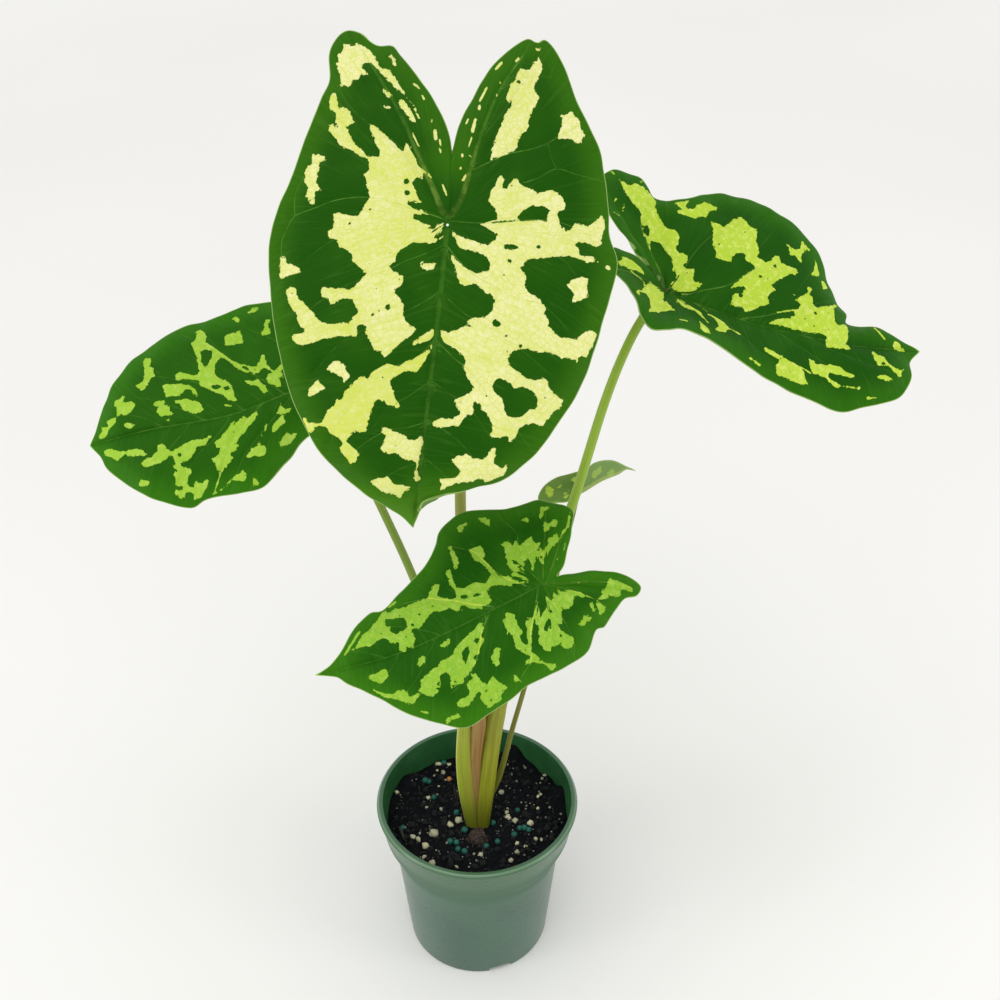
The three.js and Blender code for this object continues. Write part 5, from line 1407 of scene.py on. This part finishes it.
def rounded(profile, radius, steps=4):
    """A profile with each inner corner rounded off; a point may carry its own radius."""
    points = [np.array(p[:2], float) for p in profile]
    out = [points[0]]
    for a, b, c, own in zip(points, points[1:], points[2:], profile[1:]):
        ab, bc = np.linalg.norm(b - a), np.linalg.norm(c - b)
        r = min(own[2] if len(own) > 2 else radius, ab * 0.45, bc * 0.45)
        start, end = b + (a - b) * r / ab, b + (c - b) * r / bc
        for i in range(steps + 1):
            t = i / steps
            out.append(start * (1 - t) ** 2 + b * 2 * t * (1 - t) + end * t**2)
    out.append(points[-1])
    return out


def lathe(name, profile, sides, materials):
    """A body of revolution: a profile of (radius, height), turned round the upright axis."""
    points, faces, rows = [], [], []
    for r, z in profile:
        count = sides if r else 1
        rows.append((len(points), count))
        for k in range(count):
            a = 2 * math.pi * k / sides
            points.append((r * math.cos(a), r * math.sin(a), z))
    for (a, n), (b, m) in zip(rows, rows[1:]):
        for k in range(sides):
            j = (k + 1) % sides
            quad = [a + k % n, a + j % n, b + j % m, b + k % m]
            faces.append(tuple(v for i, v in enumerate(quad) if v != quad[i - 1]))
    return mesh_object(name, points, faces, materials)


POT_DARK = (48, 86, 66)
POT_LIGHT = (56, 95, 74)
POT_COLLAR = (62, 102, 68)
POT_SCUFFS = (112, 142, 124)
# Painted highlight along the lip's rounded edge
POT_LIP_HIGHLIGHT = (126, 160, 122)
POT_DUST = (120, 130, 118)
POT_INSIDE_DARK = (36, 86, 46)
POT_INSIDE_LIGHT = (48, 102, 58)


def pot_material():
    n = Nodes("pot_plastic")
    place = n.millimetres()
    height = n.parts(place)["Z"]
    broad = n.noise(place, 0.03, 2.0, 0.5)
    grain = n.noise(place, 3.0, 3.0, 0.6)
    rub = n.noise(n.scaled(place, (1.0, 1.0, 4.0)), 0.25, 4.0, 0.7)
    # The lip's rounded edge has a painted highlight, and the foot is a little dusty
    edge = n.times(n.ramp(height, 97.6, 98.3), n.ramp(height, 98.85, 98.6))
    dust = n.times(n.ramp(height, 22.0, 0.0), n.ramp(grain, 0.4, 0.7))
    colour = n.layered(
        linear(POT_DARK),
        (n.ramp(broad, 0.3, 0.7), linear(POT_LIGHT)),
        (n.ramp(height, 50.0, 96.0, 0.0, 0.8), linear(POT_COLLAR)),
        (n.ramp(rub, 0.66, 0.85, 0.0, 0.25), linear(POT_SCUFFS)),
        (n.times(edge, 0.45), linear(POT_LIP_HIGHLIGHT)),
        (n.times(dust, 0.3), linear(POT_DUST)),
    )
    # The shoulder under the collar is dull, the rest has a soft gloss
    shoulder = n.times(n.ramp(height, 62.0, 70.0, 0.0, 0.3), n.ramp(height, 88.0, 80.0))
    roughness = n.plus(n.ramp(rub, 0.3, 0.75, 0.27, 0.31), shoulder)
    return n.finish(colour, roughness, n.bump(grain, 0.00005, 0.15), Specular_IOR_Level=0.7)


def pot_inside_material():
    n = Nodes("pot_plastic_inside")
    place = n.millimetres()
    broad = n.noise(place, 0.06, 2.0, 0.5)
    grain = n.noise(place, 3.0, 3.0, 0.6)
    colour = n.mix(n.ramp(broad, 0.3, 0.7), linear(POT_INSIDE_DARK), linear(POT_INSIDE_LIGHT))
    roughness = n.ramp(grain, 0.3, 0.7, 0.42, 0.55)
    return n.finish(colour, roughness, n.bump(grain, 0.00005, 0.5), Specular_IOR_Level=0.25)


def notch_cutter(angle):
    """A block that cuts one drain notch, with an arched roof and sides that lean in a little."""
    half = NOTCH_WIDTH / 2
    arch = [(-half - NOTCH_LEAN, -1)]
    for k in range(NOTCH_ARCH_STEPS + 1):
        a = math.pi * k / NOTCH_ARCH_STEPS
        rise = NOTCH_ARCH_START + (1 - NOTCH_ARCH_START) * math.sin(a)
        arch.append((-half * math.cos(a), NOTCH_HEIGHT * rise))
    arch.append((half + NOTCH_LEAN, -1))
    c, s = math.cos(angle), math.sin(angle)
    points = []
    for r in (BASE_RADIUS - NOTCH_DEPTH, BASE_RADIUS + 4):
        points += [(r * c - y * s, r * s + y * c, z) for y, z in arch]
    count = len(arch)
    faces = [tuple(range(count)), tuple(range(2 * count - 1, count - 1, -1))]
    faces += [((k + 1) % count, k, k + count, (k + 1) % count + count) for k in range(count)]
    return mesh_object("notch_cutter", points, faces, [], smooth=False)


def pot():
    lip = POT_HEIGHT - LIP_HEIGHT
    waist = pot_radius(WAIST_Z)
    outline = [
        (0, FOOT_RECESS), (BASE_RADIUS - FOOT_RING - 1, FOOT_RECESS), (BASE_RADIUS - FOOT_RING, 0),
        (BASE_RADIUS - 0.4, 0), (BASE_RADIUS + 0.1, 1), (waist, WAIST_Z),
        (SHOULDER_RADIUS, SHOULDER_Z, SHOULDER_ROUNDING), (COLLAR_RADIUS, COLLAR_Z, SHOULDER_ROUNDING),
        (COLLAR_TOP_RADIUS, lip), (RIM_RADIUS - 0.2, lip), (RIM_RADIUS, lip + 1.3),
        (LIP_TOP_RADIUS, POT_HEIGHT), (MOUTH_RADIUS, POT_HEIGHT), (COLLAR_RADIUS - WALL, COLLAR_Z),
        (SHOULDER_RADIUS - WALL, SHOULDER_Z), (waist - WALL, WAIST_Z), (BASE_RADIUS - WALL, POT_FLOOR),
        (0, POT_FLOOR),
    ]
    materials = [pot_material(), pot_inside_material()]
    made = lathe("nursery_pot", rounded(outline, CORNER_ROUNDING), POT_SIDES, materials)
    cut_with(made, [notch_cutter(math.radians(FIRST_NOTCH + 360 * i / NOTCHES)) for i in range(NOTCHES)])
    for face in made.data.polygons:
        x, y, z = face.center / MM
        wall = pot_radius(z) - WALL / 2 if z < lip else MOUTH_RADIUS + 0.1
        face.material_index = int(math.hypot(x, y) < wall and z > POT_FLOOR - 0.2)
    made.data.set_sharp_from_angle(angle=math.radians(SHARP_EDGE))
    return made


def cut_with(made, cutters):
    for cutter in cutters:
        step = made.modifiers.new("cut", "BOOLEAN")
        step.operation = "DIFFERENCE"
        step.solver = "EXACT"
        step.object = cutter
    bpy.context.view_layer.update()
    shape = bpy.data.meshes.new_from_object(made.evaluated_get(bpy.context.evaluated_depsgraph_get()))
    made.modifiers.clear()
    made.data = shape
    for cutter in cutters:
        bpy.data.objects.remove(cutter)


SOIL_DARK = (6, 8, 11)
SOIL_LIGHT = (19, 21, 27)
SOIL_FLECK = (48, 48, 50)
BARK_DARK = (22, 18, 17)
BARK_LIGHT = (106, 84, 72)
# Each kind of grain: its pale and its dark colour, and how matt it is at least
GRAINS = {
    "perlite": ((224, 219, 180), (92, 95, 90), 0.7),
    "coated_beads": ((24, 108, 90), (10, 62, 60), 0.5),
    "rusty_coat": ((206, 138, 70), (180, 110, 50), 0.4),
    "dark_clods": ((15, 17, 21), (7, 8, 11), 0.85),
    "dry_fibre": ((70, 66, 48), (38, 34, 26), 0.8),
}


def soil_height(x, y):
    waves = math.sin(x * 0.21 + 1.3) * math.cos(y * 0.17 - 0.4) + 0.6 * math.sin(x * 0.43 - y * 0.37 + 2.1)
    heaps = sum(h * math.exp(-((x - a) ** 2 + (y - b) ** 2) / reach**2) for a, b, h, reach in SOIL_HEAPS)
    fall = SOIL_FALL * max(0, (math.hypot(x, y) - SOIL_LEVEL_REACH) / 20)
    return SOIL_Z + 0.5 + SOIL_WAVE * waves - fall + heaps


def soil_top(x, y):
    """The soil's surface with its crumbs."""
    coarse = noise.noise(Vector((x / 2.6, y / 2.6, 1.0)))
    fine = noise.noise(Vector((x / 1.2, y / 1.2, 7.0)))
    cell = noise.voronoi(Vector((x / 2.2, y / 2.2, 3.0)))[0][0]
    a, b, depth, reach = STALKS_DIP
    dip = depth * math.exp(-((x - a) ** 2 + (y - b) ** 2) / reach**2)
    return soil_height(x, y) + 0.9 * coarse + 0.55 * fine - 0.9 * cell + 0.5 - dip


def soil_material():
    n = Nodes("potting_soil")
    place = n.millimetres()
    grit = n.noise(place, 1.4, 4.0, 0.7)
    fleck = n.cells(place, 1.1, "Color")
    colour = n.layered(
        linear(SOIL_DARK),
        (n.ramp(grit, 0.35, 0.7), linear(SOIL_LIGHT)),
        (n.ramp(fleck, 0.85, 0.95, 0.0, 0.4), linear(SOIL_FLECK)),
    )
    normal = n.bump(n.noise(place, 3.2, 4.0, 0.75), 0.0005, 0.9)
    return n.finish(colour, n.ramp(grit, 0.3, 0.7, 0.62, 0.95), normal, Specular_IOR_Level=0.15)


def soil():
    inset = WALL + SOIL_GAP
    edge = pot_radius(SOIL_Z) - inset
    side = np.linspace(-1, 1, SOIL_CELLS + 1)
    points = []
    for v in side:
        for u in side:
            # A square's grid drawn out to a disc
            if abs(u) > abs(v):
                r, a = u, (math.pi / 4) * (v / u)
            elif v:
                r, a = v, math.pi / 2 - (math.pi / 4) * (u / v)
            else:
                r, a = 0, 0
            x, y = edge * r * math.cos(a), edge * r * math.sin(a)
            fade = min(1.0, (1 - abs(r)) / 0.03)
            z = soil_height(x, y) + (soil_top(x, y) - soil_height(x, y)) * fade
            # A heap that leans on the wall follows it outwards
            spread = 1 + ((pot_radius(z) - inset) / edge - 1) * max(0.0, abs(r) - 0.8) / 0.2
            points.append((x * spread, y * spread, z))
    n = SOIL_CELLS + 1
    corners = [j * n + i for j in range(SOIL_CELLS) for i in range(SOIL_CELLS)]
    faces = [(v, v + 1, v + n + 1, v + n) for v in corners]
    last = list(range(n)) + [j * n + n - 1 for j in range(1, n)]
    last += [(n - 1) * n + i for i in range(n - 2, -1, -1)] + [j * n for j in range(n - 2, 0, -1)]
    # The soil's side follows the inside of the pot down to its floor
    levels = [
        (COLLAR_RADIUS - inset, COLLAR_Z + 0.3), (SHOULDER_RADIUS - inset, SHOULDER_Z + 0.3),
        (pot_radius(WAIST_Z) - inset, WAIST_Z), (BASE_RADIUS - inset - 0.6, POT_FLOOR + SOIL_GAP),
    ]
    for radius, z in levels:
        start, size = len(points), len(last)
        for x, y, _ in [points[v] for v in last]:
            k = radius / math.hypot(x, y)
            points.append((x * k, y * k, z))
        ring = list(range(start, start + size))
        faces += [(last[(a + 1) % size], last[a], ring[a], ring[(a + 1) % size]) for a in range(size)]
        last = ring
    faces.append(tuple(last[::-1]))
    return mesh_object("potting_mix", points, faces, [soil_material()])


def lump(radius, stretch, seed, rough, level):
    """A small uneven stone: a ball of triangles pushed in and out."""
    bm = bmesh.new()
    bmesh.ops.create_icosphere(bm, subdivisions=level, radius=1.0)
    points = []
    for v in bm.verts:
        broad = noise.noise(v.co * 1.3 + Vector((seed * 3.1, seed, 0)))
        fine = noise.noise(v.co * 3 + Vector((seed, 0, 5)))
        push = 1 + rough * (2 * broad + 0.5 * fine)
        points.append([c * push * s * radius for c, s in zip(v.co, stretch)])
    faces = [tuple(v.index for v in f.verts) for f in bm.faces]
    bm.free()
    return np.array(points), faces


def scatter(name, items, material, level, rough):
    """Many lumps as one piece: items holds (x, y, radius, sunk share). Smooth ones stay round."""
    rng = random.Random(name)
    pile, tone = Pile(), []
    for x, y, radius, sunk in items:
        stretch = (rng.uniform(0.8, 1.25), rng.uniform(0.75, 1.1), rng.uniform(0.7, 1.0))
        if rough < 0.1:
            stretch = (1, 1, 1)
        p, faces = lump(radius, stretch, rng.uniform(0, 50), rough, level)
        spin = rng.uniform(0, math.pi)
        c, s = math.cos(spin), math.sin(spin)
        turned = np.column_stack([p[:, 0] * c - p[:, 1] * s, p[:, 0] * s + p[:, 1] * c, p[:, 2]])
        pile.add(turned + (x, y, soil_top(x, y) + radius * (1 - 2 * sunk)), faces)
        tone += [rng.uniform(0, 0.5) if radius > PALE_GRAIN_RADIUS else rng.uniform(0.4, 1.0)] * len(p)
    made = pile.made(name, material)
    add_values(made, "tone", np.array(tone))
    return made


def grain_material(name):
    pale, dark, roughness = GRAINS[name]
    n = Nodes(name)
    grit = n.noise(n.millimetres(), 1.6, 3.0, 0.7)
    colour = n.layered(
        linear(pale),
        (n.attribute("tone"), linear(dark)),
        (n.ramp(grit, 0.5, 0.8, 0.0, 0.5), linear(tuple(int(c * 0.55) for c in dark))),
    )
    return n.finish(colour, n.ramp(grit, 0.3, 0.7, roughness, roughness + 0.15), n.bump(grit, 0.0003, 0.7))


# The larger grains: white ones as (x, y, radius), green and rusty ones as (x, y). Small seeded ones lie
# between them.
PERLITE = [
    (-44.8, 15.7, 1.5), (-27.5, 16, 1.5), (-23, 41, 1.6), (-17, 42, 1.2), (-23.5, 36.5, 1.0), (-20, 35, 1.3),
    (-28, 7.5, 1.0), (-20, 7.5, 1.1), (-10, 0, 2.3), (-15, -3.5, 2.0), (-34.5, -11.5, 2.0),
    (-31.5, -13.5, 1.6), (-23.5, -10.5, 2.7), (-27.5, -18.5, 2.5), (17, 45.5, 1.6), (14.5, 42, 1.3),
    (13, 18.5, 1.8), (16.5, 1.5, 1.9), (20.5, -0.5, 1.6), (16, 5, 1.2), (29, -3.5, 1.7), (31.5, -13.5, 1.4),
    (34.5, -13, 1.0), (21.5, -17, 1.2), (26, -19, 1.2), (21.5, -23, 1.6), (18, -28.5, 1.6), (2, -24, 1.5),
    (-23.5, -30, 1.8), (-28, -26, 1.3), (-10.5, -32, 1.0), (-10.5, -26.5, 0.9), (0, -29, 0.9),
    (37.4, 30.1, 1.0), (36, 28, 0.9), (33.5, 17.5, 1.1), (35, 18.5, 1.0), (16.5, 8, 0.9), (33, 7.5, 1.0),
]
FERTILISER = [
    (-30, 27.5), (-28, 27.8), (-24.5, 15.5), (-11.5, 4.5), (8.5, -2.5), (-40.5, -5.5), (-14.5, -16.5),
    (-11, -17), (-10, -21), (-6.5, -23), (-6.8, -8), (22, 6.5), (20, -11.5), (23, -7), (25.5, -6.5),
    (11, -16.5), (5, -18.5), (28, -7.5), (-19.9, 42.6),
]
RUSTY_GRAIN = [(-16.4, 28.8)]


def soil_grains():
    rng = random.Random(41)
    limit = pot_radius(SOIL_Z) - WALL - GRAIN_MARGIN
    stalks_x, stalks_y, stalks_reach = STALKS_CLEARING

    def spot():
        while True:
            x, y = rng.uniform(-limit, limit), rng.uniform(-limit, limit)
            if math.hypot(x, y) < limit and math.hypot(x - stalks_x, y - stalks_y) > stalks_reach:
                return x, y

    white = [(x, y, PERLITE_SHARE * r, SUNK) for x, y, r in PERLITE]
    white += [(*spot(), rng.choice(SMALL_PERLITE_RADII), SMALL_SUNK) for _ in range(SMALL_PERLITE)]
    green = [(x, y, rng.uniform(*BEAD_RADII), BEAD_SUNK) for x, y in FERTILISER]
    rusty = [(x, y, RUSTY_RADIUS, BEAD_SUNK) for x, y in RUSTY_GRAIN]
    clods = [(*spot(), rng.uniform(*CLOD_RADII), CLOD_SUNK) for _ in range(CLODS)]
    return [
        scatter("perlite_grains", white, grain_material("perlite"), 2, 0.3),
        scatter("fertiliser_beads", green, grain_material("coated_beads"), 3, 0.03),
        scatter("rusty_bead", rusty, grain_material("rusty_coat"), 3, 0.03),
        scatter("soil_clods", clods, grain_material("dark_clods"), 2, 0.4),
        root_bits(rng, spot, limit),
    ]


def root_bits(rng, spot, limit):
    """Short bits of root and bark on the soil, a dead sprig on the left and fibres behind the stalks."""
    pile = Pile()
    for _ in range(BITS):
        x, y = spot()
        angle, length, thick = rng.uniform(0, math.pi), rng.uniform(1.5, 5.0), rng.uniform(0.12, 0.3)
        line = []
        for t in np.linspace(-0.5, 0.5, 7):
            px = x + length * t * math.cos(angle) + 0.5 * math.sin(6 * t)
            py = y + length * t * math.sin(angle) + 0.5 * math.cos(5 * t)
            line.append((px, py, soil_top(px, py) + thick + 0.3))
        if max(math.hypot(px, py) for px, py, _ in line) <= limit + 1:
            pile.add_strand(line, [(thick, thick)] * 7, 6)
    strands = [((-43.6, -4.2), (-38.6, -14.6), 0.8)]
    strands += [((-14.3 + 0.9 * k, 13.7 - k), (-12.5 + 1.1 * k, 24.8 - 2 * k), 0.22) for k in range(3)]
    for (x0, y0), (x1, y1), thick in strands:
        line, halves = [], []
        for t in np.linspace(0, 1, 9):
            px, py = x0 + (x1 - x0) * t + 0.6 * math.sin(5 * t), y0 + (y1 - y0) * t
            line.append((px, py, soil_top(px, py) + thick * 0.6 + 0.5 + 0.8 * math.sin(math.pi * t)))
            halves.append((thick * math.sin(0.3 + 2.6 * t), thick * 0.4))
        pile.add_strand(line, halves, 8)
    bits = pile.made("root_bits", grain_material("dry_fibre"))
    add_values(bits, "tone", np.full(pile.count, 0.5))
    return bits


def ball(centre, half, rows, sides, bulge):
    """A closed round body whose rings swell by bulge(ring, direction)."""
    points = []
    for i in range(rows):
        rise = math.pi * ((i + 0.5) / rows - 0.5)
        for k in range(sides):
            turn = 2 * math.pi * k / sides
            level = math.cos(rise)
            way = np.array([level * math.cos(turn), level * math.sin(turn), math.sin(rise)])
            points.append(np.array(centre) + np.array(half) * way * bulge(i, way))
    return points, tube_faces(rows, sides)


def tuber_material():
    n = Nodes("tuber_bark")
    bark = n.noise(n.scaled(n.millimetres(), (1.0, 1.0, 2.5)), 0.9, 4.0, 0.7)
    colour = n.mix(n.ramp(bark, 0.35, 0.7), linear(BARK_DARK), linear(BARK_LIGHT))
    return n.finish(colour, n.ramp(bark, 0.3, 0.7, 0.75, 0.95), n.bump(bark, 0.0006, 0.9))


def tuber_bulge(ring, way):
    return 1 + 0.025 * math.cos(ring * 1.6) + 0.07 * noise.noise(Vector(way * (2.5, 2.5, 3)))


def knob_bulge(ring, way):
    lumps = noise.noise(Vector(way * (2.2, 2.2, 2)) + Vector((0, 0, 4)))
    return 1 + 0.05 * math.cos(ring * 2.1) + 0.3 * lumps


def tuber():
    """The tuber's top with its ringed scars, and in front of the stalks the knob of an older crown with
    short dry fibres on it."""
    pile = Pile()
    pile.add(*ball(TUBER_CENTRE, TUBER_HALF, 48, 64, tuber_bulge))
    pile.add(*ball(KNOB_CENTRE, KNOB_HALF, 24, 40, knob_bulge))
    rng = random.Random(7)
    for _ in range(CROWN_FIBRES):
        a = rng.uniform(math.pi, 2 * math.pi)
        r = rng.uniform(1.0, 6.0)
        x, y = KNOB_CENTRE[0] + r * math.cos(a), KNOB_CENTRE[1] + r * math.sin(a)
        z = KNOB_CENTRE[2] + KNOB_HALF[2] * math.sqrt(max(0.05, 1 - (r / 6.2) ** 2))
        reach, thick = rng.uniform(1.0, 3.2), rng.uniform(0.16, 0.4)
        swing = a + rng.uniform(-1.2, 1.2)
        line, halves = [], []
        for t in np.linspace(0, 1, 6):
            rise = 0.8 * math.sin(math.pi * t) * rng.uniform(0.6, 1.0) - 1.4 * t
            line.append((x + reach * t * math.cos(swing), y + reach * t * math.sin(swing), z + rise))
            halves.append((thick * (1 - 0.5 * t),) * 2)
        pile.add_strand(line, halves, 6)
    return pile.made("tuber_crown", tuber_material())


def ride_and_name(piece, slot, *nodes):
    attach(piece, "root")
    if nodes:
        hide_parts(*nodes)


for name, leaf in LEAVES.items():
    ride_and_name(blade(name, leaf), LOOKS[name]["slot"], "blade_" + name)
    ride_and_name(stalk(name, leaf), "stalk", "stalk_" + name)
ride_and_name(pot(), "pot", "pot")
ride_and_name(soil(), "soil", "soil")
ride_and_name(tuber(), "tuber", "tuber")
for grains in soil_grains():
    ride_and_name(grains, "soil")

# Floor, light and camera
ground = Nodes("studio_paper")
paper = ground.noise(ground.place(), 1.2, 2.0, 0.5)
ground_colour = ground.mix(ground.ramp(paper, 0.3, 0.7), linear((243, 242, 239)), linear((246, 245, 242)))
ground.finish(ground_colour, ground.ramp(paper, 0.3, 0.7, 0.86, 0.94), Specular_IOR_Level=0.1)
corners = [(x * FLOOR_HALF, y * FLOOR_HALF, 0) for x, y in ((-1, -1), (1, -1), (1, 1), (-1, 1))]
floor = mesh_object("studio_floor", corners, [(0, 1, 2, 3)], [ground.material], smooth=False)

world = bpy.data.worlds.new("studio_air")
world.use_nodes = True
air = world.node_tree.nodes["Background"]
air.inputs["Color"].default_value = (1.0, 1.0, 0.995, 1.0)
air.inputs["Strength"].default_value = AIR_LIGHT
bpy.context.scene.world = world


def put_in(name, data, place, way=None):
    """A lamp or camera in the scene, a lamp shining the given way."""
    made = bpy.data.objects.new(name, data)
    bpy.context.scene.collection.objects.link(made)
    made.location = place
    if way is not None:
        made.rotation_euler = way.to_track_quat("-Z", "Y").to_euler()
    return made


daylight = bpy.data.lights.new("daylight", "SUN")
daylight.energy = SUN_STRENGTH
daylight.angle = math.radians(SUN_SPREAD)
put_in("daylight", daylight, Vector((0, 0, 0)), Vector(SUN_WAY))
for name, place in PANELS.items():
    panel = bpy.data.lights.new(name, "AREA")
    panel.shape = "RECTANGLE"
    panel.size, panel.size_y = PANEL_SIZE
    panel.energy = PANEL_POWER
    put_in(name, panel, Vector(place), Vector(PANEL_AIM) - Vector(place))

camera = put_in("camera", bpy.data.cameras.new("camera"), Vector(CAMERA_PLACE) * MM)
camera.data.sensor_width = 36.0
camera.data.lens = CAMERA_LENS
camera.data.clip_end = 50.0
camera.rotation_euler = (math.radians(90 - CAMERA_PITCH), 0, 0)
bpy.context.scene.camera = camera
bpy.context.scene.view_settings.view_transform = "Standard"
